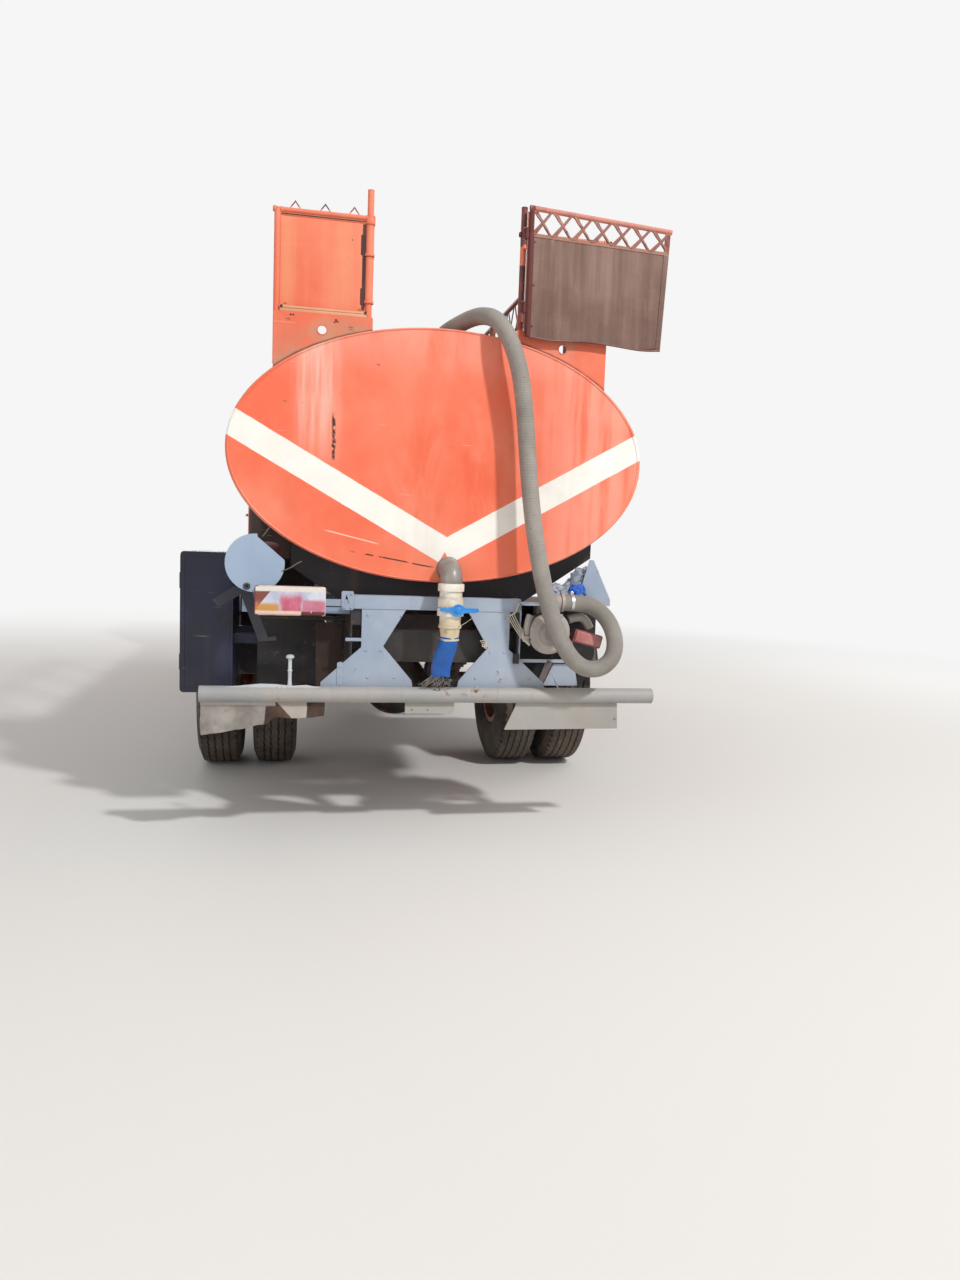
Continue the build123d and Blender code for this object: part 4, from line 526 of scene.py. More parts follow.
def flap_cloth(name):
    """Coarse pale cloth on the left, its right part painted dark brown as shade, with one pale fold."""
    f = Finish(name)
    warp = (f.x * 1300 + f.noise(9, 3) * 9).sine()
    weft = (f.z * 1300 + f.noise(9, 3) * 9).sine()
    pale = f.mottled(9, 6, 0.3, 0.7, "837c76", "a9a29a")
    pale = f.mix(f.z.ramp(0.664, 0.674), pale, "b7b3ae")
    # Painted shade: the cloth's right part, which hangs in shadow, in dark brown
    brown = f.mix(f.noise(10, 6, stretch=(1, 1, 0.3)).ramp(0.3, 0.7), "3a2c26", "5a463c")
    wave = f.noise(20, 3) * 0.012
    painted_shade_part = (f.x + wave - (f.z - 0.60) * 0.1).ramp(-0.806, -0.800) * (
        1 - f.z.ramp(0.662, 0.668) * f.x.ramp(-0.757, -0.763)
    )
    colour = f.mix(painted_shade_part, pale, brown)
    fold = ((f.z - 0.6) * 0.9 + f.x + wave).ramp(-0.672, -0.668) * (f.x + wave).ramp(-0.606, -0.612)
    colour = f.mix(fold, colour, "b0a79d")
    colour = f.mix(f.noise(24, 6).ramp(0.6, 0.74) * 0.5, colour, "6d5f52")
    skin = f.relief(warp * 0.5 + weft * 0.5, 0.0006)
    return f.wear(Base_Color=colour, Roughness=0.9, Normal=skin)


def stained_rag(name, base, pale, patch, share):
    """A crumpled rag with dark patches soaked into it."""
    f = Finish(name)
    colour = f.mottled(14, 6, 0.3, 0.7, base, pale)
    colour = f.mix(f.noise(16, 4, distortion=0.6).ramp(1 - share, 1.03 - share), colour, patch)
    weave = (f.x * 1500 + f.z * 1500).sine()
    return f.wear(Base_Color=colour, Roughness=0.85, Normal=f.relief(weave + f.noise(90, 4) * 2, 0.0005))


def mirror_silver(name):
    f = Finish(name)
    film = f.noise(6, 5).ramp(0.45, 0.75)
    return f.wear(Base_Color=f.mix(film * 0.3, "d5d9dc", dust), Roughness=film * 0.25 + 0.04, Metallic=1.0)


iron = dark_iron("greasy_iron")
tyre = tyre_rubber("worn_tyre")
bolt_iron = plain_metal("bolt_iron", "4c4744", "6b625b", 0.5, 0.5, 0.9)
finishes = {
    "tank_shell": tank_finish("tank_paint"),
    "hose_racks": rack_finish("rack_paint", rack_rust_and_shade),
    "rack_end_plates": rack_finish("end_plate_paint", end_plate_marks),
    "gate": rust_sheet("gate_rust"),
    "rear_frame": grey_blue("blue_grey_paint"),
    "side_boxes": navy("navy_paint"),
    "tyres": tyre,
    "outlet_pipe": pipe_finish("pipe_plastic"),
    "outlet_sleeve": woven("sleeve_cloth", "123f86", "2760ad"),
    "string": woven("white_string", "cfc6b2", "e6dfd0", 2400.0),
    "cloth_flap": flap_cloth("flap_cloth"),
    "lamps": lamp_finish("lamp_lens"),
    "lens_rim": lens_rim_finish("lens_rim"),
    "left_lens": left_lens("left_lens"),
    "clear_lens": lens("clear_lens", "c4ccd0", "9da6aa", 0.12),
    "hose": hose_rubber("hose_rubber"),
    "glass": glass_finish("dusty_glass"),
    "seats": leather("seat_leather"),
    "exhaust": dark_iron("exhaust_iron", "4a3a32", "6b5549", 0.9, 0.1),
    "dark_rust": dark_iron("dark_rust", "34191a", "55302a", 0.5, 0.2),
    "chrome": plain_metal("dull_chrome", "b9bcbe", "d2d3d2", 0.9, 0.28, 0.2),
    "mirror_glass": mirror_silver("mirror_silver"),
}
# For each maker of finishes, the parts that wear it and its values: name, two colours, then as in its def
tables = {
    painted: {
        "tank_fittings": ("neck_paint", "b5482f", "c9644a", 0.6, 0.5),
        "chassis_frame": ("chassis_paint", "1e1d20", "302e31", 0.4, 0.25),
        "rims": ("rim_paint", "8d3527", "a4553f", 0.5, 0.45),
        "pump": ("pump_paint", "8f8a86", "bdb6ad", 0.3, 0.3),
        "grille": ("grille_paint", "2b2c30", "45474c", 0.2, 0.4),
        "carrier_tube": ("tube_paint", "8fa3bd", "a3b4c8", 0.12, 0.3, 0.2),
        "rear_bumper": ("bumper_paint", "8a9098", "a9a7a4", 0.42, 0.45, 0.2),
        "under_plates": ("under_plate_paint", "8d8c8c", "a8a5a0", 0.3, 0.3),
        "rear_mudguards": ("mudguard_paint", "1a1a1d", "2c2b2d", 0.3, 0.22),
        "side_tanks": ("side_tank_paint", "5c6674", "78828f", 0.3, 0.5),
        "bumper_strip": ("strip_paint", "b4bac2", "cdd0d3", 0.2, 0.2),
        "dark_stay": ("stay_paint", "2b2d38", "3d3f4a", 0.3, 0.4),
        "gate_bars": ("gate_bar_rust", "57302c", "a86f62", 0.5, 0.2),
        "pale_paint": ("pale_fold_paint", "d69a76", "e8bf9f", 0.3, 0.4),
        "blank_plate": ("plate_paint", "d8d6cf", "e8e6e0", 0.1, 0.3),
        "front_bumper": ("front_bumper_paint", "8c9bb0", "a9b6c6", 0.3, 0.4),
        "cab_roof": ("cab_paint", "e0603d", "ee8466", 0.1, 0.35, 0.2, 0.42),
        # Painted shade: the cab's back near-black, for the shade between tank and cab
        "cab_back": ("sooty_paint", "2a1d1b", "4a2c24", 0.3, 0.15, 0.5),
    },
    plain_plastic: {
        "valve_handle": ("handle_plastic", "1a76c6", "3f9be0"),
        "mud_flap": ("flap_rubber", "1b191b", "2c2828", 0.8),
        "brown_flap": ("brown_flap", "2b1c16", "3d2a20", 0.8),
        "dashboard": ("dash_plastic", "232325", "37373a", 0.65),
        "cab_floor": ("floor_rubber", "1f1e1e", "34302d", 0.8, 0.7),
        "steering_wheel": ("wheel_plastic", "121212", "222222", 0.4),
        "mirrors": ("mirror_plastic", "17171a", "2b2b2f"),
        "black_rubber": ("black_rubber", "141414", "2c2a28", 0.75, 0.5),
    },
    lens: {
        "faded_red_lens": ("faded_red_lens", "bf6f6a", "dba39c"),
        "amber_lens": ("amber_lens", "d9822a", "e8a04a"),
    },
    stained_rag: {
        "grey_rag": ("grey_rag", "8291a6", "bcc3cc", "2f333d", 0.34),
        "blue_rag": ("blue_rag", "2457c4", "4f82e0", "10204a", 0.36),
        "frayed": ("frayed", "8b857e", "b3ada4", "2a2725", 0.5),
    },
}
for maker, parts in tables.items():
    for part, values in parts.items():
        finishes[part] = maker(*values)
finishes["manhole_lid"] = finishes["tank_fittings"]
finishes.update(dict.fromkeys(("tank_carrier", "steps"), finishes["chassis_frame"]))
finishes.update(dict.fromkeys(("cab_nose", "cab_sides", "door_left", "door_right"), finishes["cab_roof"]))
finishes.update(dict.fromkeys(("rear_axle", "front_axle", "tie_rod", "leaf_springs", "engine"), iron))
for hand in ("left", "right"):
    finishes.update(dict.fromkeys(("knuckle_" + hand, "rear_hub_" + hand, "front_hub_" + hand), iron))
for name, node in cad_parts.items():
    family = "tyres" if "tyre" in name else "rims" if "rim" in name else "glass" if "glass" in name else name
    node.data.materials.clear()
    node.data.materials.append(finishes[family])


def finished(mesh, name, finish, body="truck", creases=40):
    """Turn a bmesh into a named piece that rides on a body, smooth but for creases sharper than an angle."""
    data = bpy.data.meshes.new(name)
    mesh.to_mesh(data)
    mesh.free()
    piece = bpy.data.objects.new(name, data)
    bpy.context.scene.collection.objects.link(piece)
    data.materials.append(finish)
    for face in data.polygons:
        face.use_smooth = True
    if creases:
        data.set_sharp_from_angle(angle=math.radians(creases))
    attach(piece, body)
    return piece


# Turns for parts drawn flat: to the back, x stays across and y goes up; to the right, x goes to the front
to_back = Matrix.Rotation(math.radians(90), 4, "X")
to_right = Matrix(((0, 0, 1, 0), (1, 0, 0, 0), (0, 1, 0, 0), (0, 0, 0, 1)))


def facing(axis):
    """The turn that takes Z to an axis."""
    return Vector(axis).to_track_quat("Z", "Y").to_matrix().to_4x4()


def leaning(degrees, axis="Y"):
    return Matrix.Rotation(math.radians(degrees), 4, axis)


def band(inner, outer, low, high, ease=0.002):
    """The profile of a ring whose outer edges are set back by ease."""
    return [(inner, low), (outer, low + ease), (outer, high - ease), (inner, high), (inner, low)]


def spun(profile, steps):
    """A line of (radius, height) points spun round Z. A ring repeats its first point at the end."""
    part = bmesh.new()
    points = [part.verts.new((radius, 0, height)) for radius, height in profile]
    edges = [part.edges.new(pair) for pair in zip(points, points[1:])]
    bmesh.ops.spin(
        part, geom=points + edges, cent=(0, 0, 0), axis=(0, 0, 1), angle=math.tau, steps=steps, use_merge=True
    )
    bmesh.ops.remove_doubles(part, verts=part.verts, dist=1e-5)
    bmesh.ops.recalc_face_normals(part, faces=part.faces)
    return part


def rounded(x, z, corner, steps=4):
    """Points round a rectangle between two pairs of limits, its corners rounded."""
    corners = [
        (x[1] - corner, z[1] - corner, 0),
        (x[0] + corner, z[1] - corner, 90),
        (x[0] + corner, z[0] + corner, 180),
        (x[1] - corner, z[0] + corner, 270),
    ]
    points = []
    for cx, cz, start in corners:
        for i in range(steps + 1):
            angle = math.radians(start + 90 * i / steps)
            points.append((cx + corner * math.cos(angle), cz + corner * math.sin(angle)))
    return points


class Form:
    """A piece in the making. Each part is shaped on its own, then turned, moved and joined to the rest."""

    def __init__(self):
        self.mesh = bmesh.new()

    def join(self, part, centre=(0, 0, 0), turn=Matrix.Identity(4)):
        bmesh.ops.transform(part, matrix=Matrix.Translation(centre) @ turn, verts=part.verts)
        shelf = bpy.data.meshes.new("part")
        part.to_mesh(shelf)
        part.free()
        self.mesh.from_mesh(shelf)
        bpy.data.meshes.remove(shelf)

    def block(self, centre, size, edge=0.003, turn=Matrix.Identity(4), segments=2):
        """A block with rounded edges."""
        part = bmesh.new()
        bmesh.ops.create_cube(part, size=1)
        bmesh.ops.scale(part, vec=size, verts=part.verts)
        bmesh.ops.bevel(
            part, geom=part.edges[:], offset=edge, segments=segments, profile=0.5, affect="EDGES", material=-1
        )
        self.join(part, centre, turn)

    def lathe(self, centre, axis, profile, steps=32, stretch=(1, 1, 1)):
        """A profile spun round an axis."""
        self.join(spun(profile, steps), centre, Matrix.Diagonal((*stretch, 1)) @ facing(axis))

    def plate(self, outline, depth, centre=(0, 0, 0), turn=to_back, holes=(), edge=0.0008):
        """A flat plate of an outline, thickened along its normal, with holes through it and eased rims."""
        part = bmesh.new()
        for loop in (outline, *holes):
            points = [part.verts.new((x, y, 0)) for x, y in loop]
            for pair in zip(points, points[1:] + points[:1]):
                part.edges.new(pair)
        bmesh.ops.triangle_fill(part, use_beauty=True, use_dissolve=False, edges=part.edges[:])
        raised = bmesh.ops.extrude_face_region(part, geom=part.faces[:])["geom"]
        moved = [v for v in raised if isinstance(v, bmesh.types.BMVert)]
        bmesh.ops.translate(part, vec=(0, 0, depth), verts=moved)
        bmesh.ops.recalc_face_normals(part, faces=part.faces)
        rims = [e for e in part.edges if e.calc_face_angle(0) > 1.2]
        if edge:
            bmesh.ops.bevel(
                part, geom=rims, offset=edge, segments=1, profile=0.5, affect="EDGES", material=-1
            )
        self.join(part, centre, turn)

    def rod(self, points, radius, sides=8, smooth=False, closed=False):
        """A round bar along points, mitred at its bends or smooth through them."""
        line = bpy.data.curves.new("rod", "CURVE")
        line.dimensions = "3D"
        run = line.splines.new("NURBS" if smooth else "POLY")
        run.points.add(len(points) - 1)
        for point, place in zip(run.points, points):
            point.co = (*place, 1)
        run.order_u = 3
        run.use_endpoint_u = not closed
        run.use_cyclic_u = closed
        run.resolution_u = 6
        line.bevel_depth = radius
        line.bevel_resolution = sides // 2 - 2
        line.use_fill_caps = True
        holder = bpy.data.objects.new("rod", line)
        shelf = bpy.data.meshes.new_from_object(holder)
        self.mesh.from_mesh(shelf)
        bpy.data.objects.remove(holder)
        bpy.data.curves.remove(line)
        bpy.data.meshes.remove(shelf)

    def bolt(self, centre, axis, size=0.010):
        """A washer under a hexagon head."""
        washer = [(0, 0), (1.35 * size, 0), (1.35 * size, 0.22 * size), (0, 0.22 * size)]
        head = [
            (0, 0.1 * size), (size, 0.1 * size), (size, 0.75 * size), (0.82 * size, 0.9 * size),
            (0, 0.9 * size)
        ]
        self.lathe(centre, axis, washer, 10)
        self.lathe(centre, axis, head, 6)

    def rivet(self, centre, axis, size=0.008):
        self.lathe(
            centre, axis,
            [(size, 0), (0.85 * size, 0.35 * size), (0.45 * size, 0.6 * size), (0, 0.66 * size)], 8
        )

    def ring_of_bolts(self, centre, axis, radius, count, size=0.010):
        turn = facing(axis)
        for i in range(count):
            angle = math.tau * (i + 0.5) / count
            spot = turn @ Vector((radius * math.cos(angle), radius * math.sin(angle), 0))
            self.bolt(Vector(centre) + spot, axis, size)

    def both_sides(self):
        """Add the same shapes on the vehicle's other side."""
        copy = bmesh.ops.duplicate(
            self.mesh, geom=self.mesh.verts[:] + self.mesh.edges[:] + self.mesh.faces[:]
        )
        verts = [v for v in copy["geom"] if isinstance(v, bmesh.types.BMVert)]
        faces = [face for face in copy["geom"] if isinstance(face, bmesh.types.BMFace)]
        bmesh.ops.scale(self.mesh, vec=(-1, 1, 1), verts=verts)
        bmesh.ops.reverse_faces(self.mesh, faces=faces)

    def flipped(self):
        """Move the whole piece to the vehicle's other side."""
        bmesh.ops.scale(self.mesh, vec=(-1, 1, 1), verts=self.mesh.verts)
        bmesh.ops.reverse_faces(self.mesh, faces=self.mesh.faces[:])

    def piece(self, name, finish, body="truck", creases=40, side=1):
        """Hand the form over as a piece, on the vehicle's left side if side is -1."""
        if side < 0:
            self.flipped()
        return finished(self.mesh, name, finish, body, creases)


# The hose, its points as in the solids: x, y from the tank's end, z
hose_route = [
    (0.612, -0.075, 1.187),
    (0.680, -0.075, 1.187),
    (0.745, -0.080, 1.178),
    (0.800, -0.090, 1.150),
    (0.842, -0.104, 1.102),
    (0.866, -0.120, 1.045),
    (0.872, -0.136, 0.985),
    (0.855, -0.151, 0.928),
    (0.813, -0.164, 0.887),
    (0.756, -0.175, 0.869),
    (0.697, -0.183, 0.878),
    (0.646, -0.188, 0.912),
    (0.602, -0.190, 0.965),
    (0.563, -0.190, 1.035),
    (0.525, -0.188, 1.125),
    (0.490, -0.180, 1.240),
    (0.458, -0.163, 1.385),
    (0.430, -0.143, 1.550),
    (0.407, -0.125, 1.740),
    (0.388, -0.113, 1.940),
    (0.368, -0.110, 2.130),
    (0.335, -0.113, 2.300),
    (0.285, -0.092, 2.436),
    (0.235, -0.035, 2.522),
    (0.188, 0.048, 2.552),
    (0.147, 0.140, 2.556),
    (0.105, 0.235, 2.545),
    (0.066, 0.330, 2.531),
    (0.049, 0.425, 2.524),
    (0.049, 0.520, 2.524),
]
hose_line = bpy.data.curves.new("filling_hose", "CURVE")
hose_line.dimensions = "3D"
run = hose_line.splines.new("NURBS")
run.points.add(len(hose_route) - 1)
for point, (x, y, z) in zip(run.points, hose_route):
    point.co = (x, tank_rear + y, z, 1)
run.order_u = 3
run.use_endpoint_u = True
run.resolution_u = 12
hose_line.bevel_depth = 0.041
hose_line.bevel_resolution = 8
hose_line.materials.append(finishes["hose"])
filling_hose = bpy.data.objects.new("filling_hose", hose_line)
bpy.context.scene.collection.objects.link(filling_hose)
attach(filling_hose, "truck")
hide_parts("hose")

# Camera at the photograph's place and angle, for a frame 960 wide and 1280 high
yaw, pitch, roll = (math.radians(a) for a in (11.7, -5.48, 2.1))
ahead = Vector((math.sin(yaw) * math.cos(pitch), math.cos(yaw) * math.cos(pitch), math.sin(pitch)))
level = Vector((math.cos(yaw), -math.sin(yaw), 0))
above = level.cross(ahead)
right = level * math.cos(roll) + above * math.sin(roll)
up = above * math.cos(roll) - level * math.sin(roll)
camera = bpy.data.objects.new("camera", bpy.data.cameras.new("camera"))
bpy.context.scene.collection.objects.link(camera)
camera.matrix_world = Matrix.Translation((-0.715, -7.990, 1.43)) @ Matrix(
    (right, up, -ahead)
).transposed().to_4x4()
camera.data.lens = 36 * 939.7 / 1280
camera.data.clip_end = 200
bpy.context.scene.camera = camera


# Tyres: ribs with zigzag grooves, notched shoulders and ringed walls, in place of the plain ones
tread_half = [
    (0.5260, 0.0175), (0.5150, 0.0200), (0.5150, 0.0255), (0.5260, 0.0280), (0.5255, 0.0570),
    (0.5145, 0.0595), (0.5145, 0.0655), (0.5250, 0.0680), (0.5225, 0.0980), (0.5180, 0.1060),
    (0.5020, 0.1120), (0.4850, 0.1200), (0.4640, 0.1280), (0.4600, 0.1305), (0.4550, 0.1295),
    (0.4300, 0.1338), (0.3950, 0.1350), (0.3620, 0.1335), (0.3560, 0.1345), (0.3500, 0.1322),
    (0.3300, 0.1275), (0.3260, 0.1290), (0.3210, 0.1250), (0.3020, 0.1180), (0.2880, 0.1080),
    (0.2790, 0.0952), (0.2545, 0.0946),
]
tyre_profile = [(r, -h) for r, h in reversed(tread_half)] + tread_half


def add_tyre(form, x, y):
    """One worn tyre, its centre plane at x."""
    part = spun(tyre_profile + tyre_profile[:1], 120)
    column = math.tau / 120
    for vert in part.verts:
        if math.hypot(vert.co.x, vert.co.y) > 0.513 and 0.015 < abs(vert.co.z) < 0.069:
            turn = round(math.atan2(vert.co.y, vert.co.x) / column)
            vert.co.z += 0.0035 if turn % 2 else -0.0035
    notched = []
    for face in part.faces:
        middle = face.calc_center_median()
        turn = math.floor(math.atan2(middle.y, middle.x) / column)
        if 0.098 < abs(middle.z) < 0.1115 and math.hypot(middle.x, middle.y) > 0.505 and turn % 2:
            notched.append(face)
    bmesh.ops.inset_individual(part, faces=notched, thickness=0.0018, depth=-0.006)
    form.join(part, (x, y, axle_z), facing(to_side))


def wheel_nuts(form, x, y, count=10):
    """A ring of nuts and studs on a disc whose outer face is at x, and the valve on its stem."""
    for i in range(count):
        angle = math.tau * i / count
        spot = (x, y + 0.140 * math.cos(angle), axle_z + 0.140 * math.sin(angle))
        form.bolt(spot, to_side, 0.0155)
        form.lathe(spot, to_side, [(0, 0.01), (0.008, 0.01), (0.008, 0.022), (0.006, 0.024), (0, 0.024)], 8)
    form.rod(
        [(x - 0.004, y + 0.176, axle_z), (x + 0.022, y + 0.182, axle_z), (x + 0.045, y + 0.184, axle_z)],
        0.004
    )


for side, hand in ((1, "right"), (-1, "left")):
    twin = Form()
    add_tyre(twin, 1.110, rear_axle_y)
    add_tyre(twin, 0.775, rear_axle_y)
    single = Form()
    add_tyre(single, 1.010, front_axle_y)
    rear_nuts = Form()
    wheel_nuts(rear_nuts, 0.9516, rear_axle_y)
    rear_nuts.ring_of_bolts((1.0225, rear_axle_y, axle_z), to_side, 0.074, 8, 0.008)
    rear_nuts.lathe((1.048, rear_axle_y, axle_z), to_side, [(0.056, 0), (0.05, 0.008), (0, 0.010)], 24)
    front_nuts = Form()
    wheel_nuts(front_nuts, 1.160, front_axle_y)
    front_nuts.lathe((1.216, front_axle_y, axle_z), to_side, [(0.056, 0), (0.05, 0.008), (0, 0.010)], 24)
    lock_ring = [
        (0.262, 0.1), (0.2745, 0.1), (0.2785, 0.1035), (0.2765, 0.1075), (0.266, 0.1085), (0.262, 0.1065),
        (0.262, 0.1)
    ]
    rings = Form()
    rings.lathe((1.110, rear_axle_y, axle_z), to_side, lock_ring, 72)
    front_rings = Form()
    front_rings.lathe((1.010, front_axle_y, axle_z), to_side, lock_ring, 72)
    wheels = [
        (twin, "rear_treads_", tyre, "rear_wheels_"),
        (single, "front_tread_", tyre, "front_wheel_"),
        (rear_nuts, "rear_nuts_", bolt_iron, "rear_wheels_"),
        (front_nuts, "front_nuts_", bolt_iron, "front_wheel_"),
        (rings, "rear_lock_ring_", finishes["rims"], "rear_wheels_"),
        (front_rings, "front_lock_ring_", finishes["rims"], "front_wheel_"),
    ]
    for form, name, finish, body in wheels:
        made = form.piece(name + hand, finish, body + hand, side=side)
        if finish is tyre:
            node = ("rear_tyres_" if form is twin else "front_tyre_") + hand
            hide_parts(node)

# Tank: welded seams and hold-down straps round it, the rolled rim of each end, and the manhole's fastenings
seams = Form()
weld = [(1, -0.007), (1.0035, -0.003), (1.0035, 0.003), (1, 0.007), (0.998, 0), (1, -0.007)]
for i in range(1, 6):
    y = tank_rear + seam_pitch * i
    seams.lathe((0, y, tank_centre), to_front, weld, 120, (tank_half_width, 1, tank_half_height))
rim_weld = [
    (0.984, -0.002), (0.990, -0.0045), (0.996, -0.002), (1.0005, 0.003), (1.003, 0.012), (0.999, 0.02),
    (0.984, -0.002)
]
seams.lathe((0, tank_rear, tank_centre), to_front, rim_weld, 144, (tank_half_width, 1, tank_half_height))
seams.lathe((0, tank_front, tank_centre), to_rear, rim_weld, 144, (tank_half_width, 1, tank_half_height))
seams.piece("tank_seams", finishes["tank_shell"])
straps = Form()
hoop = band(1.0005, 1.0048, -0.03, 0.03)
for i in (0, 2, 3, 5):
    y = tank_rear + 0.2 + 0.93 * i
    straps.lathe((0, y, tank_centre), to_front, hoop, 120, (tank_half_width, 1, tank_half_height))
straps.piece("hold_down_straps", finishes["chassis_frame"])

neck = Form()
lid_parts = Form()
for i in range(16):
    angle = math.tau * (i + 0.5) / 16
    if abs(math.degrees(angle) - 90) < 24:
        continue
    x, y = 0.268 * math.cos(angle), lid_centre.y + 0.268 * math.sin(angle)
    neck.bolt((x, y, 2.5465), (0, 0, -1), 0.011)
    lid_parts.bolt((x, y, 2.5783), upward, 0.011)
neck.lathe(
    (-0.45, lid_centre.y + 0.62, 2.385), upward,
    [
        (0.06, 0), (0.06, 0.05), (0.032, 0.055), (0.032, 0.11), (0.062, 0.115), (0.06, 0.14), (0.02, 0.155),
        (0, 0.157)
    ],
    28
)
neck.rod([(-0.087, -1.478, 2.572), (0.087, -1.478, 2.572)], 0.006)
neck.lathe((0.049, tank_rear + 0.60, 2.524), to_front, band(0.0415, 0.0455, 0, 0.012), 32)
neck.piece("neck_fastenings", finishes["tank_fittings"])
lid_parts.rod(
    [
        (-0.10, lid_centre.y - 0.16, 2.598), (-0.10, lid_centre.y - 0.16, 2.632),
        (0.10, lid_centre.y - 0.16, 2.632), (0.10, lid_centre.y - 0.16, 2.598)
    ],
    0.0075, 10
)
lid_parts.lathe(
    (0, lid_centre.y + 0.02, 2.598), upward,
    [(0.05, -0.004), (0.05, 0.006), (0.036, 0.012), (0.03, 0.026), (0, 0.03)], 28
)
lid_parts.piece("lid_fastenings", finishes["tank_fittings"], "manhole_lid")

# Back end: bolts and doublers on the frame, the lamps' lenses, the pin and strip on the bumper
frame_bolts = Form()
rear_face = tank_rear - 0.012
for x, z in (
    (0.175, 1.10), (0.335, 1.10), (0.27, 0.93), (0.34, 0.93), (0.20, 0.80), (0.33, 0.80), (0.47, 0.80)
):
    for side in (-1, 1):
        frame_bolts.rivet((side * x, rear_face, z), to_rear, 0.007)
frame_bolts.plate(
    [(-0.476, 0.742), (-0.446, 0.742), (-0.446, 0.868), (-0.462, 0.874), (-0.476, 0.868)], 0.003,
    (0, rear_face, 0)
)
for z in (0.762, 0.805, 0.848):
    frame_bolts.rivet((-0.461, rear_face - 0.003, z), to_rear, 0.005)
frame_bolts.block((-0.400, rear_face + 0.004, 0.981), (0.078, 0.006, 0.016), 0.002)
frame_bolts.block((0.0, rear_face - 0.002, 1.1325), (0.825, 0.004, 0.006), 0.0015)
bracket = rounded((-0.462, -0.404), (1.122, 1.212), 0.008, 2)
frame_bolts.plate(
    bracket, 0.005, (0, rear_face, 0), holes=[[(-0.450, 1.152), (-0.425, 1.152), (-0.4375, 1.196)]]
)
for x, z in ((-0.415, 1.200), (-0.415, 1.135), (-0.450, 1.135)):
    frame_bolts.bolt((x, rear_face - 0.005, z), to_rear, 0.0065)
for z in (1.02, 1.14):
    frame_bolts.bolt((0.348, rear_face, z), to_rear, 0.006)
frame_bolts.plate([(0.552, 0.762), (0.735, 0.762), (0.712, 0.872), (0.604, 0.874)], 0.003, (0, -3.462, 0))
for x in (0.46, 0.60, 0.71):
    frame_bolts.bolt((x, tank_rear - 0.012, 1.1712), upward, 0.007)
frame_bolts.rod([(0.615, -3.53, 0.755), (0.60, -3.528, 0.79), (0.585, -3.52, 0.83)], 0.004)
frame_bolts.bolt((0.2, -3.53, 0.7605), upward, 0.008)
frame_bolts.piece("frame_fastenings", finishes["rear_frame"])

strip = Form()
edge = [
    (-1.045, 0.752), (-0.98, 0.757), (-0.90, 0.766), (-0.83, 0.773), (-0.76, 0.771), (-0.69, 0.764),
    (-0.62, 0.768), (-0.553, 0.757)
]
strip.plate(edge + [(-0.553, 0.742), (-1.045, 0.738)], 0.006, (0, -3.541, 0))
strip.bolt((-0.742, -3.547, 0.758), to_rear, 0.007)
strip.bolt((-0.722, -3.547, 0.756), to_rear, 0.007)
strip.lathe((-0.696, -3.533, 0.757), upward,
            [(0.011, 0), (0.011, 0.006), (0.0085, 0.03), (0.0085, 0.072), (0.012, 0.078), (0.0085, 0.084),
             (0.0085, 0.132), (0.019, 0.138), (0.019, 0.146), (0.012, 0.152), (0, 0.153)], 18)
strip.piece("bumper_strip", finishes["bumper_strip"])

tube_ends = Form()
for side in (-1, 1):
    tube_ends.lathe(
        (side * 1.105, bumper_y, bumper_z), (side, 0, 0),
        [(0.0335, -0.03), (0.0335, 0.0), (0.036, 0.0015), (0.0385, 0.0), (0.0385, -0.006), (0.0335, -0.03)],
        36
    )
for x in (0.30, 0.17, 0.47, -0.17, -0.33, -0.50):
    tube_ends.lathe((x, bumper_y, bumper_z), to_side, band(0.0375, 0.0392, -0.002, 0.003, 0.001), 36)
for x in (0.555, 0.68, 0.79, 0.90):
    tube_ends.bolt((x, bumper_y, 0.6842), (0, 0, -1), 0.007)
tube_ends.piece("bumper_details", finishes["rear_bumper"])

lens_left = Form()
lens_left.block((-0.700, -3.569, 1.163), (0.316, 0.012, 0.127), 0.004, segments=3)
lens_left.piece("tail_lens_left", finishes["left_lens"])
lens_rim = Form()
lens_rim.rod(
    [(x, -3.565, z) for x, z in rounded((-0.8585, -0.5415), (1.0985, 1.2275), 0.006, 2)], 0.0034, closed=True
)
lens_rim.plate(
    [
        (-0.605, 1.096), (-0.600, 1.103), (-0.604, 1.112), (-0.598, 1.122), (-0.6015, 1.122), (-0.608, 1.112),
        (-0.604, 1.103)
    ],
    0.0015, (0, -3.5755, 0)
)
lens_rim.piece("tail_lens_rim", finishes["lens_rim"])
lens_right = Form()
tilt = leaning(14)
spot = Vector((0.755, tank_rear, 1.008))
lens_right.block(spot + Vector((0, -0.063, 0)), (0.134, 0.010, 0.054), 0.004, tilt, 3)
lens_right.piece("tail_lens_right", finishes["faded_red_lens"])

front_lamps = Form()
lamp_glass = Form()
for side in (-1, 1):
    place = (side * 0.830, cab_front, 1.080)
    front_lamps.lathe(
        place, to_front,
        [
            (0.098, 0.004), (0.106, 0.006), (0.108, 0.014), (0.103, 0.019), (0.090, 0.0175), (0.088, 0.012),
            (0.098, 0.004)
        ],
        56
    )
    lamp_glass.lathe(
        place, to_front, [(0.090, 0.012), (0.088, 0.017), (0.07, 0.024), (0.04, 0.029), (0, 0.031)], 56
    )
    for x, z in ((0.072, 0.072), (-0.072, 0.072), (0, -0.1025)):
        front_lamps.bolt((side * 0.830 + x, cab_front + 0.016, 1.080 + z), to_front, 0.005)
front_lamps.piece("headlamp_rims", finishes["chrome"])
lamp_glass.piece("headlamp_glasses", finishes["clear_lens"])

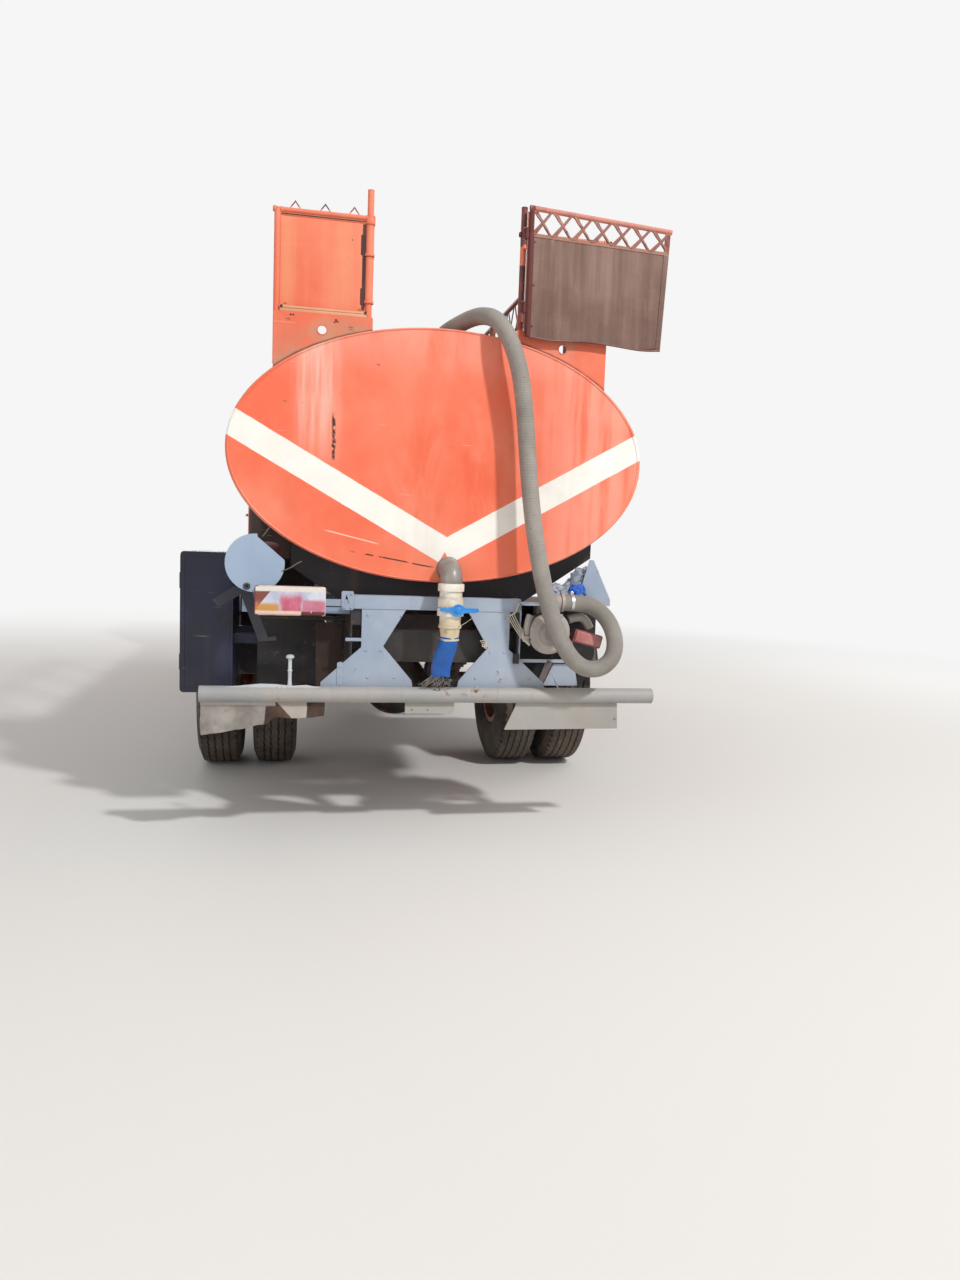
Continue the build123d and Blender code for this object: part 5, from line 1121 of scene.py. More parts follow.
disc_parts = Form()
disc_parts.lathe(
    (-0.900, tank_rear - 0.009, 1.222), to_rear,
    [(0.009, 0), (0.015, 0), (0.017, 0.002), (0.015, 0.004), (0.009, 0.0035), (0.009, 0)], 20
)
disc_parts.rod([(-0.83, -3.486, 1.455), (-0.812, -3.49, 1.478), (-0.798, -3.49, 1.502)], 0.003, smooth=True)
disc_parts.rod(
    [(-0.742, -3.486, 1.296), (-0.70, -3.50, 1.312), (-0.672, -3.50, 1.336), (-0.65, -3.495, 1.345)], 0.003,
    smooth=True
)
disc_parts.piece("disc_wires", bolt_iron)

# A dark stay down behind the left lamp, from the carrier's arm
stay = Form()
stay.plate(
    [(-0.95, 1.235), (-0.905, 1.245), (-0.80, 0.975), (-0.765, 0.985), (-0.76, 0.962), (-0.845, 0.955)],
    0.005, (0, -3.398, 0)
)
stay.plate(
    [(-1.06, 1.150), (-0.93, 1.235), (-0.90, 1.245), (-0.90, 1.195), (-1.03, 1.118)], 0.004, (0, -3.394, 0)
)
stay.piece("lamp_stay", finishes["dark_stay"])
side_flap = Form()
side_flap.plate(
    [(-0.975, 1.340), (-0.560, 1.340), (-0.560, 0.680), (-0.600, 0.660), (-0.940, 0.664), (-0.975, 0.690)],
    0.008, (0, -2.372, 0)
)
for x in (-0.94, -0.77, -0.60):
    side_flap.bolt((x, -2.380, 1.315), to_rear, 0.009)
side_flap.piece("side_flap", finishes["mud_flap"])
pump_guard = Form()
pump_guard.plate(
    [(0.456, 0.740), (0.456, 1.166), (0.850, 1.166), (0.862, 1.150), (0.862, 0.905), (0.800, 0.740)], 0.004,
    (0, -3.326, 0)
)
for x in (0.49, 0.66, 0.83):
    pump_guard.bolt((x, -3.330, 1.140), to_rear, 0.008)
pump_guard.piece("pump_guard", finishes["mud_flap"])
brown_flap = Form()
brown_flap.plate(
    [(-0.575, 1.050), (-0.448, 1.050), (-0.452, 0.690), (-0.500, 0.676), (-0.570, 0.690)], 0.006,
    (0, -3.345, 0)
)
brown_flap.bolt((-0.55, -3.351, 1.03), to_rear, 0.008)
brown_flap.bolt((-0.47, -3.351, 1.03), to_rear, 0.008)
brown_flap.piece("brown_flap", finishes["brown_flap"])

# Outlet: unions, the valve's body and its blue handle
fittings = Form()
union = [(0.052, 0), (0.0635, 0.001), (0.0635, 0.034), (0.060, 0.038), (0.052, 0.038), (0.052, 0)]
fittings.lathe((outlet_x, outlet_y, 1.228), upward, union, 10)
fittings.lathe((outlet_x, outlet_y, 1.110), upward, union, 10)
fittings.lathe(
    (outlet_x, outlet_y, 1.150), upward,
    [(0.05, 0), (0.0605, 0.003), (0.0605, 0.044), (0.05, 0.05), (0.05, 0)], 40
)
fittings.lathe(
    (outlet_x, outlet_y - 0.052, 1.172), to_rear,
    [(0.021, 0), (0.021, 0.008), (0.014, 0.010), (0.009, 0.012), (0, 0.012)], 20
)
fittings.lathe((outlet_x, outlet_y, 1.052), upward, band(0.048, 0.0555, 0, 0.014, 0.003), 36)
fittings.lathe(
    (outlet_x, tank_rear, 1.331), to_rear,
    [(0.05, 0), (0.0605, 0.0005), (0.0595, 0.004), (0.056, 0.008), (0.054, 0.014), (0.05, 0)], 40
)
fittings.piece("outlet_unions", finishes["outlet_pipe"])
grip = Form()
wing = [
    (-0.012, 1.141), (-0.004, 1.136), (0.030, 1.137), (0.048, 1.128), (0.058, 1.117), (0.074, 1.114),
    (0.090, 1.121), (0.104, 1.132), (0.160, 1.136), (0.173, 1.141), (0.170, 1.150), (0.130, 1.152),
    (0.106, 1.152), (0.094, 1.163), (0.078, 1.168), (0.062, 1.164), (0.050, 1.154), (0.026, 1.149),
    (-0.004, 1.151)
]
grip.plate(wing, 0.007, (0, -3.640, 0), edge=0.002)
grip.rod([(x, -3.644, z) for x, z in wing], 0.0035, closed=True)
grip.lathe(
    (outlet_x + 0.026, -3.640, 1.1425), to_rear,
    [(0.016, -0.004), (0.016, 0.010), (0.010, 0.0135), (0, 0.0135)], 24
)
handle = grip.piece("handle_wings", finishes["valve_handle"])
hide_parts("valve_handle")

# Pump: bolts of its cover, the suction flange, pipe union, motor and its fins
pump_parts = Form()
pump_parts.ring_of_bolts((pump_x, -3.5655, pump_z), to_rear, 0.0845, 8, 0.0065)
pump_parts.lathe((pump_x, -3.597, pump_z), to_rear, band(0.030, 0.048, -0.006, 0.003, 0), 36)
pump_parts.ring_of_bolts((pump_x, -3.600, pump_z), to_rear, 0.039, 4, 0.005)
spiral = [(pump_x + r * math.cos(a), -3.545, pump_z + r * math.sin(a)) for a, r in
          ((math.radians(200 + 24 * i), 0.072 + 0.0016 * i) for i in range(11))]
pump_parts.rod(spiral, 0.030, 14, smooth=True)
pump_parts.lathe((0.560, -3.555, 1.187), upward, band(0.03, 0.052, -0.07, -0.056, 0), 32)
pump_parts.rod([(0.455, -3.53, 1.12), (0.44, -3.535, 1.08), (0.437, -3.54, 1.02)], 0.017, 12, smooth=True)
pump_parts.lathe(
    (0.437, -3.54, 1.02), (0, 0.05, -1),
    [(0, 0), (0.026, 0), (0.026, 0.012), (0.018, 0.014), (0.018, 0.03), (0, 0.03)], 8
)
pump_parts.rod(
    [(0.66, -3.50, 1.10), (0.71, -3.50, 1.12), (0.755, -3.495, 1.10), (0.775, -3.49, 1.06)], 0.022, 12,
    smooth=True
)
pump_parts.piece("pump_details", finishes["pump"])
motor = Form()
motor_shell = [(0.03, 0), (0.085, 0.004)]
for i in range(12):
    motor_shell += [
        (0.085, 0.012 + 0.015 * i), (0.092, 0.014 + 0.015 * i), (0.092, 0.019 + 0.015 * i),
        (0.085, 0.021 + 0.015 * i)
    ]
motor_shell += [(0.085, 0.2), (0.06, 0.214), (0.03, 0.214), (0.03, 0)]
motor.lathe((pump_x, -3.505, pump_z), to_front, motor_shell, 48)
motor.block((0.645, -3.43, 1.075), (0.05, 0.09, 0.08), 0.008)
motor.rod([(0.645, -3.46, 1.11), (0.66, -3.46, 1.135), (0.70, -3.44, 1.14)], 0.007, smooth=True)
motor.block((0.40, -3.498, 0.90), (0.03, 0.02, 0.05), 0.004)
motor.piece("pump_motor", iron)

# Clamps that hold the hose's two ends
clamps = Form()
for centre, axis, screw in (
    ((0.655, tank_rear - 0.075, 1.187), to_side, (0, 0, 0.048)),
    ((0.049, tank_rear + 0.500, 2.524), to_front, (0.048, 0, 0))
):
    clamps.lathe(centre, axis, band(0.041, 0.0435, -0.007, 0.007, 0), 40)
    middle = Vector(centre) + Vector(screw)
    clamps.block(middle, (0.016, 0.016, 0.014), 0.003)
    clamps.bolt(middle, (0, -1, 0.2), 0.007)
clamps.piece("hose_clamps", finishes["chrome"])

# Cloth and rags at the back
def soft_tube(rings):
    """A soft tube through rings that have the same number of points."""
    part = bmesh.new()
    loops = []
    for ring in rings:
        before = set(part.edges)
        verts = bmesh.ops.create_circle(part, segments=len(ring), radius=1)["verts"]
        for vert, place in zip(verts, ring):
            vert.co = place
        loops.append([e for e in part.edges if e not in before])
    for one, two in zip(loops, loops[1:]):
        bmesh.ops.bridge_loops(part, edges=one + two)
    bmesh.ops.recalc_face_normals(part, faces=part.faces)
    return part


def soft_sheet(columns, rows, place):
    """A cloth whose point at u, v from 0 to 1 is place(u, v)."""
    part = bmesh.new()
    bmesh.ops.create_grid(part, x_segments=columns, y_segments=rows, size=0.5)
    for vert in part.verts:
        vert.co = place(vert.co.x + 0.5, vert.co.y + 0.5)
    return part


def thick(piece, depth, levels=1):
    """Give a cloth its thickness and round it."""
    wall = piece.modifiers.new("thickness", "SOLIDIFY")
    wall.thickness = depth
    wall.offset = 0
    if levels:
        rounding = piece.modifiers.new("rounding", "SUBSURF")
        rounding.levels = rounding.render_levels = levels


def ruffle(x, y, z, size):
    """A steady wrinkle for a place, between -1 and 1."""
    return noise.turbulence(Vector((x, y, z)) / size, 3, False, noise_basis="PERLIN_ORIGINAL")


def flap_foot(x):
    corners = [(-1.104, 0.528), (-0.797, 0.580), (-0.763, 0.612), (-0.530, 0.616)]
    for (x0, z0), (x1, z1) in zip(corners, corners[1:]):
        if x <= x1:
            return z0 + (z1 - z0) * (x - x0) / (x1 - x0)
    return corners[-1][1]


def flap_place(u, v):
    x = -1.100 + 0.568 * u
    drop = 1 - v
    z = 0.6865 - drop * (0.6865 - flap_foot(x))
    slack = drop ** 1.3
    y = -3.5300 + slack * (
        0.010 * math.sin(21 * x + 2.2 * v) + 0.005 * math.sin(57 * x + 1.0) + 0.012 * ruffle(x, 0, z, 0.11)
    )
    if -0.70 < x < -0.56:
        y -= 0.016 * slack * math.sin(math.pi * (x + 0.70) / 0.14) ** 2
    return Vector((x + 0.004 * slack * math.sin(40 * z), y, z - 0.004 * slack * abs(math.sin(30 * x))))


flap = finished(soft_sheet(110, 26, flap_place), "flap_cloth", finishes["cloth_flap"], creases=0)
thick(flap, 0.003)
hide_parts("cloth_flap")

sleeve_rings = []
for i in range(25):
    s = i / 24
    ease = s * s * (3 - 2 * s)
    z = 1.012 - 0.194 * s
    centre = 0.049 - 0.037 * ease - 0.006 * math.sin(math.pi * s)
    wide = 0.0435 + 0.0035 * math.sin(math.pi * s) + 0.001 * s
    deep = 0.0425 - 0.0275 * ease ** 1.2
    pinch = 1 - 0.05 * math.exp(-(((s - 0.075) / 0.03) ** 2))
    ring = []
    for k in range(48):
        a = math.tau * k / 48
        crease = 1 + 0.035 * s * math.sin(5 * a + 7 * s) + 0.022 * math.sin(11 * a + 14 * s) * math.sin(
            math.pi * min(1, s * 1.4)
        )
        ring.append(
            (
                centre + wide * pinch * crease * math.cos(a), outlet_y + deep * pinch * crease * math.sin(a),
                z + 0.004 * s * math.sin(3 * a)
            )
        )
    sleeve_rings.append(ring)
sleeve = finished(soft_tube(sleeve_rings), "sleeve_cloth", finishes["outlet_sleeve"], creases=0)
thick(sleeve, 0.0022)
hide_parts("outlet_sleeve")

threads = Form()
for i in range(46):
    a = math.tau * i / 46
    foot = Vector((0.012 + 0.043 * math.cos(a), outlet_y + 0.014 * math.sin(a), 0.824))
    drift = Vector((0.045 * math.sin(3.1 * i) - 0.018, 0.030 + 0.012 * math.cos(2.3 * i), 0))
    fall = 0.058 + 0.012 * math.sin(5.7 * i)
    way = foot + drift * 0.35 - Vector((0, 0, 0.4 * fall))
    end = foot + drift - Vector((0, 0, fall))
    threads.rod(
        [
            foot + Vector((0, 0, 0.012)), foot, way, end,
            end + Vector((0.012 * math.cos(4.1 * i), 0.010, 0.006 * math.sin(1.7 * i)))
        ],
        0.0009 + 0.0004 * (i % 3), 4, smooth=True
    )
frayed = threads.piece("frayed_threads", finishes["frayed"], creases=0)


def round_outlet(wide, deep, z, sway, phase):
    """One turn of string round the outlet, swaying up and down."""
    angles = [math.tau * i / 32 for i in range(32)]
    return [
        (outlet_x + wide * math.cos(a), outlet_y + deep * math.sin(a), z + sway * math.sin(a + phase))
        for a in angles
    ]


lashing = Form()
for k in range(3):
    lashing.rod(round_outlet(0.0445, 0.0435, 1.0015 - 0.004 * k, 0.0018, k), 0.0018, 6, closed=True)
for k in range(4):
    lashing.rod(round_outlet(0.0535, 0.0535, 1.068 - 0.0035 * k, 0.003, 2 * k), 0.0016, 6, closed=True)
lashing.rod(
    [
        (0.096, outlet_y - 0.026, 1.066), (0.118, outlet_y - 0.030, 1.080), (0.148, outlet_y - 0.012, 1.100),
        (0.160, outlet_y, 1.104)
    ],
    0.0016, 6, smooth=True
)
lashing.rod(
    [(0.070, outlet_y - 0.050, 1.064), (0.078, outlet_y - 0.060, 1.045), (0.070, outlet_y - 0.062, 1.025)],
    0.0015, 6, smooth=True
)
for k in range(3):
    lift = 0.009 * k
    lashing.rod(
        [
            (0.216 + 0.006 * k, -3.496, 0.984 - lift), (0.232, -3.500, 0.990 - lift),
            (0.252, -3.498, 0.978 - lift), (0.246, -3.499, 0.962 - lift), (0.226, -3.500, 0.958 + 0.4 * lift)
        ],
        0.0026, 6, smooth=True
    )
for k in range(4):
    sway = 0.010 * k
    lashing.rod(
        [
            (0.352 + sway, -3.497, 1.104 + 0.5 * sway), (0.372 + sway, -3.540, 1.062),
            (0.402 + 0.5 * sway, -3.556, 1.016 + sway), (0.424 - 0.2 * sway, -3.560, 0.994 + 0.4 * sway),
            (0.452, -3.552, 0.972 + 0.3 * sway)
        ],
        0.0028, 6, smooth=True
    )
lashing.rod(
    [(0.352, -3.500, 1.112), (0.385, -3.498, 1.120), (0.396, -3.500, 1.150), (0.405, -3.500, 1.176)], 0.005,
    6, smooth=True
)
lashing.piece("string_lashing", finishes["string"], creases=0)


def rag_place(u, v):
    x = 0.560 + 0.225 * u
    ridge = 0.060 + 0.150 * u + 0.018 * math.sin(11 * u)
    z = 1.1745 + ridge * math.sin(math.pi * min(1, 0.12 + 0.92 * v)) ** 0.8
    y = -3.385 - 0.100 * v
    w = 0.020
    return Vector((
        x + w * ruffle(u * 3.1, v * 2.7, 0.3, 0.35),
        y + w * ruffle(u * 2.3, v * 3.3, 4.0, 0.30),
        max(1.1735, z + 0.9 * w * (ruffle(u * 3.7, v * 3.1, 8.0, 0.28) - 0.4)),
    ))


rag = finished(soft_sheet(56, 56, rag_place), "shelf_rag", finishes["grey_rag"], creases=0)
thick(rag, 0.002)


def blue_rag_place(u, v):
    x = 0.655 + 0.085 * u
    z = 1.232 + 0.050 * math.sin(math.pi * v) * (0.6 + 0.4 * math.sin(math.pi * u)) + 0.004 * math.sin(11 * u)
    y = -3.512 - 0.012 * math.cos(math.pi * v) - 0.01 * math.sin(math.pi * u)
    w = 0.009
    return Vector((
        x + w * ruffle(u * 3.1, v * 2.7, 2.3, 0.30),
        y + w * ruffle(u * 2.3, v * 3.3, 5.0, 0.26),
        z + w * ruffle(u * 3.7, v * 3.1, 9.0, 0.26) - 0.004,
    ))


blue_rag = finished(soft_sheet(32, 32, blue_rag_place), "blue_rag", finishes["blue_rag"], creases=0)
thick(blue_rag, 0.0018)


# Seats: padded cushions and backs, blown up a little as cloth and then sewn into channels
def pad(size, centre, turn, voxel):
    """A padded block, closed and evenly meshed."""
    part = bmesh.new()
    bmesh.ops.create_cube(part, size=1)
    bmesh.ops.scale(part, vec=size, verts=part.verts)
    bmesh.ops.bevel(
        part, geom=part.edges[:], offset=0.028, segments=4, profile=0.5, affect="EDGES", material=-1
    )
    bmesh.ops.transform(part, matrix=Matrix.Translation(centre) @ turn, verts=part.verts)
    data = bpy.data.meshes.new("pad")
    part.to_mesh(data)
    part.free()
    holder = bpy.data.objects.new("pad", data)
    bpy.context.scene.collection.objects.link(holder)
    even = holder.modifiers.new("even", "REMESH")
    even.mode = "VOXEL"
    even.voxel_size = voxel
    settled(holder)
    return holder


def settled(piece):
    """Apply a piece's modifiers to its mesh."""
    shape = bpy.data.meshes.new_from_object(piece.evaluated_get(bpy.context.evaluated_depsgraph_get()))
    piece.modifiers.clear()
    piece.data = shape


def blown_up(piece, cap, rests):
    """Swell a pad as cloth, where rests(point) is false, by no more than cap."""
    start = [v.co.copy() for v in piece.data.vertices]
    held = piece.vertex_groups.new(name="held")
    held.add([v.index for v in piece.data.vertices if rests(v.co)], 1.0, "REPLACE")
    cloth = piece.modifiers.new("cloth", "CLOTH")
    cloth.settings.vertex_group_mass = "held"
    cloth.settings.use_pressure = True
    cloth.settings.uniform_pressure_force = 4.0
    cloth.settings.effector_weights.gravity = 0
    for step in range(1, 21):
        bpy.context.scene.frame_set(step)
    settled(piece)
    for vert, place in zip(piece.data.vertices, start):
        move = vert.co - place
        if move.length > cap:
            vert.co = place + move.normalized() * cap
    bpy.context.scene.frame_set(1)


def sewn(piece, across, places, depth, width, face):
    """Press seams into a pad along lines at places on one axis, on the side that face(vertex) picks."""
    for vert in piece.data.vertices:
        if face(vert):
            for place in places:
                vert.co -= vert.normal * depth * math.exp(-(((vert.co[across] - place) / width) ** 2))


back_turn = Matrix.Rotation(math.radians(8.7), 4, "X")
for side, hand in ((1, "right"), (-1, "left")):
    middle = side * 0.660
    low_pad = pad((0.455, 0.455, 0.115), (middle, 2.425, 1.6605), Matrix.Identity(4), 0.008)
    high_pad = pad((0.435, 0.088, 0.500), (middle, 2.2275, 1.985), back_turn, 0.008)
    blown_up(low_pad, 0.012, lambda p: p.z < 1.612)
    blown_up(high_pad, 0.010, lambda p: p.z < 1.745)
    sewn(
        low_pad, 0, [middle + d for d in (-0.13, -0.043, 0.043, 0.13)], 0.007, 0.006,
        lambda v: v.normal.z > 0.3
    )
    sewn(
        high_pad, 0, [middle + d for d in (-0.12, -0.04, 0.04, 0.12)], 0.006, 0.006,
        lambda v: v.normal.y > 0.3
    )
    for piece, name in ((low_pad, "seat_cushion_"), (high_pad, "seat_back_")):
        piece.name = name + hand
        piece.data.name = name + hand
        piece.data.materials.clear()
        piece.data.materials.append(finishes["seats"])
        for face in piece.data.polygons:
            face.use_smooth = True
        rounding = piece.modifiers.new("rounding", "SUBSURF")
        rounding.levels = rounding.render_levels = 1
        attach(piece, "truck")
        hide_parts("seats")

# Cab: window rubbers, gutters, wipers, handles, lamps, seams and the glass of the mirrors
def screen_y(z):
    return cab_front - 0.120 * max(0, z - 1.9) / 0.78


def side_x(z):
    return 1.120 - 0.066 * max(0, z - 1.9) / 0.78


rubber = Form()
screen = [(x, screen_y(z) - 0.004, z) for x, z in rounded((-0.945, 0.945), (1.980, 2.470), 0.05)]
rubber.rod(screen, 0.013, 10, closed=True)
rear_light = [(x, cab_rear + 0.002, z) for x, z in rounded((-0.455, 0.455), (2.005, 2.405), 0.05)]
rubber.rod(rear_light, 0.011, 10, closed=True)
rubber.piece("window_rubbers", finishes["black_rubber"])
wipers = Form()
for x, reach in ((-0.62, 0.50), (0.10, 0.50)):
    tip = x + reach * 0.82
    wipers.lathe(
        (x, screen_y(1.935) + 0.002, 1.935), (0, 1, 0.15),
        [(0.02, 0), (0.018, 0.014), (0.01, 0.02), (0, 0.02)], 16
    )
    wipers.rod(
        [
            (x, screen_y(1.935) + 0.018, 1.935), (x + 0.2, screen_y(1.97) + 0.030, 1.975),
            (tip - 0.06, screen_y(2.03) + 0.024, 2.035)
        ],
        0.005
    )
    wipers.rod(
        [(x + 0.09, screen_y(2.00) + 0.012, 1.995), (tip + 0.12, screen_y(2.09) + 0.012, 2.075)], 0.006
    )
wipers.piece("wipers", finishes["black_rubber"])
gutters = Form()
gutter_z = 2.565
gutters.rod(
    [
        (side_x(gutter_z) + 0.004, cab_rear + 0.14, gutter_z),
        (side_x(gutter_z) + 0.004, cab_front - 0.25, gutter_z)
    ],
    0.010
)
gutters.rod([(1.121, cab_rear + 0.16, 1.890), (1.121, 2.170, 1.890)], 0.006)
gutters.rod([(1.121, 2.125 - 0.03, 1.225), (1.121, 2.095, 0.90)], 0.004)
gutters.both_sides()
gutters.rod([(-0.96, cab_front + 0.001, 1.885), (0.96, cab_front + 0.001, 1.885)], 0.007)
for z in (0.945, 1.345):
    gutters.rod([(-0.96, cab_front + 0.001, z), (0.96, cab_front + 0.001, z)], 0.004)
for x in (-0.62, -0.31, 0.31, 0.62):
    gutters.block((x, cab_rear - 0.004, 1.60), (0.035, 0.014, 1.20), 0.004)
gutters.rod([(-0.97, cab_rear - 0.002, 2.56), (0.97, cab_rear - 0.002, 2.56)], 0.007)
gutters.block((0, 2.62, 2.687), (0.62, 0.62, 0.022), 0.009, segments=3)
for x in (-0.25, 0.25):
    gutters.block((x, 2.33, 2.690), (0.07, 0.05, 0.018), 0.004)
gutters.piece("cab_seams", finishes["cab_roof"])
roof_lamps = Form()
for x in (-0.82, -0.16, 0, 0.16, 0.82):
    roof_lamps.block((x, 3.36, 2.690), (0.09, 0.045, 0.034), 0.010, segments=3)
for side in (-1, 1):
    roof_lamps.block((side * 0.80, 3.6545, 0.725), (0.13, 0.012, 0.055), 0.005, segments=3)
    roof_lamps.block((side * 1.124, 3.30, 1.14), (0.012, 0.09, 0.05), 0.005, segments=3)
roof_lamps.piece("amber_lamps", finishes["amber_lens"])
front_parts = Form()
front_parts.plate(
    rounded((-0.18, 0.18), (0.760, 0.815), 0.006, 2), 0.003, (0, 3.6535, 0),
    Matrix.Rotation(math.radians(-90), 4, "X") @ Matrix.Diagonal((1, -1, 1, 1))
)
front_parts.piece("blank_number_plate", finishes["blank_plate"])
bumper_bolts = Form()
for x in (0.34, 0.42, 0.95):
    for z in (0.60, 0.79):
        bumper_bolts.bolt((x, 3.650, z), to_front, 0.011)
bumper_bolts.rod([(-0.30, 3.650, 0.575), (0.30, 3.650, 0.575)], 0.0035)
bumper_bolts.lathe(
    (0, 3.590, 0.7315), upward, [(0, 0), (0.021, 0), (0.021, 0.008), (0.014, 0.014), (0, 0.016)], 16
)
for x in (-0.50, -0.25, 0, 0.25, 0.50):
    for z in (0.973, 1.307):
        bumper_bolts.rivet((x, cab_front + 0.008, z), to_front, 0.007)
bumper_bolts.both_sides()
bumper_bolts.piece("front_bolts", bolt_iron)

mirror_glasses = Form()
for side in (-1, 1):
    face = rounded((side * 1.1965 - 0.036, side * 1.1965 + 0.036), (1.972, 2.288), 0.014, 3)
    mirror_glasses.plate(face, 0.0018, (0, 3.2998, 0))
mirror_glasses.piece("mirror_glasses", finishes["mirror_glass"])
mirror_parts = Form()
for z in (1.905, 2.03, 2.23):
    mirror_parts.lathe((1.196, 3.302, z), upward, band(0.009, 0.014, -0.016, 0.016), 16)
mirror_parts.plate(rounded((3.272, 3.328), (1.815, 1.905), 0.012, 3), 0.006, (1.1195, 0, 0), to_right)
for z in (1.835, 1.885):
    mirror_parts.bolt((1.1255, 3.30, z), to_side, 0.006)
mirror_parts.both_sides()
mirror_parts.piece("mirror_fixings", bolt_iron)

for side, hand in ((1, "right"), (-1, "left")):
    panel = Form()
    pane = [(side_x(z) - 0.003, y, z) for y, z in rounded((2.210, 3.095), (1.930, 2.435), 0.05)]
    panel.rod(pane, 0.011, 10, closed=True)
    panel.piece("door_rubber_" + hand, finishes["black_rubber"], "door_" + hand, side=side)
    fitting = Form()
    fitting.block((1.146, 2.250, 1.7025), (0.014, 0.150, 0.026), 0.006, segments=3)
    fitting.lathe(
        (1.120, 2.180, 1.650), to_side, [(0.015, 0), (0.015, 0.004), (0.011, 0.007), (0, 0.007)], 18
    )
    for z in (1.420, 1.790):
        fitting.plate(
            rounded((3.085, 3.172), (z + 0.004, z + 0.046), 0.006, 2), 0.004, (1.1195, 0, 0), to_right
        )
        for y in (3.10, 3.13):
            fitting.bolt((1.1235, y, z + 0.025), to_side, 0.006)
    fitting.piece("door_handle_" + hand, finishes["chrome"], "door_" + hand, side=side)
    seam = Form()
    seam.plate(
        rounded((2.170, 3.145), (1.290, 1.820), 0.04), 0.0025, (1.1193, 0, 0), to_right,
        [rounded((2.182, 3.133), (1.302, 1.808), 0.034)]
    )
    seam.rod([(1.0785, 2.17, 1.62), (1.0785, 2.60, 1.62), (1.0785, 2.85, 1.66)], 0.014, 10, smooth=True)
    seam.lathe((1.080, 2.78, 1.44), (-1, 0, 0), [(0.028, 0), (0.028, 0.012), (0.012, 0.02), (0, 0.02)], 20)
    seam.rod([(1.062, 2.78, 1.44), (1.048, 2.76, 1.40), (1.040, 2.74, 1.35), (1.022, 2.74, 1.35)], 0.006)
    seam.piece("door_panel_" + hand, finishes["cab_roof"], "door_" + hand, side=side)

treads = Form()
for z in (0.4825, 0.7025):
    for i in range(9):
        treads.rod([(0.945, 2.945 + 0.045 * i, z), (1.098, 2.945 + 0.045 * i, z)], 0.0035, 6)
for z in (0.55, 0.80):
    treads.bolt((1.020, 3.330, z), to_front, 0.008)
treads.both_sides()
treads.piece("step_treads", finishes["steps"])

# Inside the cab: dials, switches, pedals, gear lever and the steering wheel's grip
inside = Form()
for x, z, radius in (
    (-0.735, 1.800, 0.052), (-0.600, 1.800, 0.052), (-0.500, 1.825, 0.028), (-0.500, 1.765, 0.028),
    (-0.835, 1.82, 0.028)
):
    turn_axis = Vector((0, -0.965, 0.263))
    spot = Vector((x, 3.2495 - (z - 1.760) * -0.273, z))
    inside.lathe(
        spot, turn_axis,
        [
            (radius, -0.002), (radius * 1.08, 0.004), (radius * 0.96, 0.009), (radius * 0.92, 0.003),
            (0, 0.003)
        ],
        32
    )
for i in range(6):
    inside.block((-0.40 + 0.045 * i, 3.240, 1.785), (0.026, 0.016, 0.036), 0.003, leaning(-15, "X"))
inside.block((0.62, 3.225, 1.79), (0.44, 0.014, 0.11), 0.006, leaning(-15, "X"))
inside.block((0.05, 3.228, 1.79), (0.20, 0.016, 0.07), 0.005, leaning(-15, "X"))
for i in range(3):
    inside.rod(
        [(-0.80 + 0.13 * i, 3.40, 1.36), (-0.80 + 0.13 * i, 3.32, 1.31), (-0.80 + 0.13 * i, 3.27, 1.27)],
        0.007
    )
    inside.block((-0.80 + 0.13 * i, 3.262, 1.285), (0.062, 0.012, 0.085), 0.004, leaning(-35, "X"))
inside.rod([(-0.19, 2.82, 1.478), (-0.20, 2.80, 1.62), (-0.23, 2.76, 1.80)], 0.010, 10, smooth=True)
inside.lathe(
    (-0.23, 2.76, 1.815), (-0.15, -0.2, 1),
    [(0.008, -0.03), (0.020, -0.016), (0.026, 0), (0.020, 0.016), (0, 0.024)], 20
)
inside.lathe(
    (-0.19, 2.82, 1.480), upward,
    [(0.075, 0), (0.060, 0.018), (0.048, 0.022), (0.036, 0.046), (0.024, 0.052), (0.014, 0.075), (0, 0.075)],
    28
)
inside.piece("cab_controls", finishes["dashboard"])
hub_cap = Form()
column = Vector((0, -math.sin(math.radians(25)), math.cos(math.radians(25))))
wheel_middle = Vector((-0.660, 3.320, 1.242)) + column * 0.6603
hub_cap.lathe(wheel_middle, column, [(0.052, 0.016), (0.052, 0.024), (0.040, 0.032), (0, 0.034)], 32)
for i in range(36):
    angle = math.tau * i / 36
    spot = wheel_middle + facing(column) @ Vector((0.225 * math.cos(angle), 0.225 * math.sin(angle), 0))
    way = facing(column) @ Vector((-math.sin(angle), math.cos(angle), 0))
    hub_cap.lathe(spot, way, band(0.0138, 0.0152, -0.006, 0.006, 0.003), 12)
hub_cap.piece("steering_grip", finishes["steering_wheel"], "steering_wheel")

# Chassis: rivets, spring clamps, cover bolts, pipes along the rails, small things on its tanks and boxes
rivets = Form()
for i in range(44):
    y = -3.36 + 0.152 * i
    for z in (0.862, 1.028):
        rivets.rivet((0.415, y, z), to_side, 0.009)
for i in range(22):
    rivets.rivet((0.3775, -3.30 + 0.22 * i, 1.1312), upward, 0.009)
rivets.both_sides()
rivets.piece("rail_rivets", finishes["chassis_frame"])

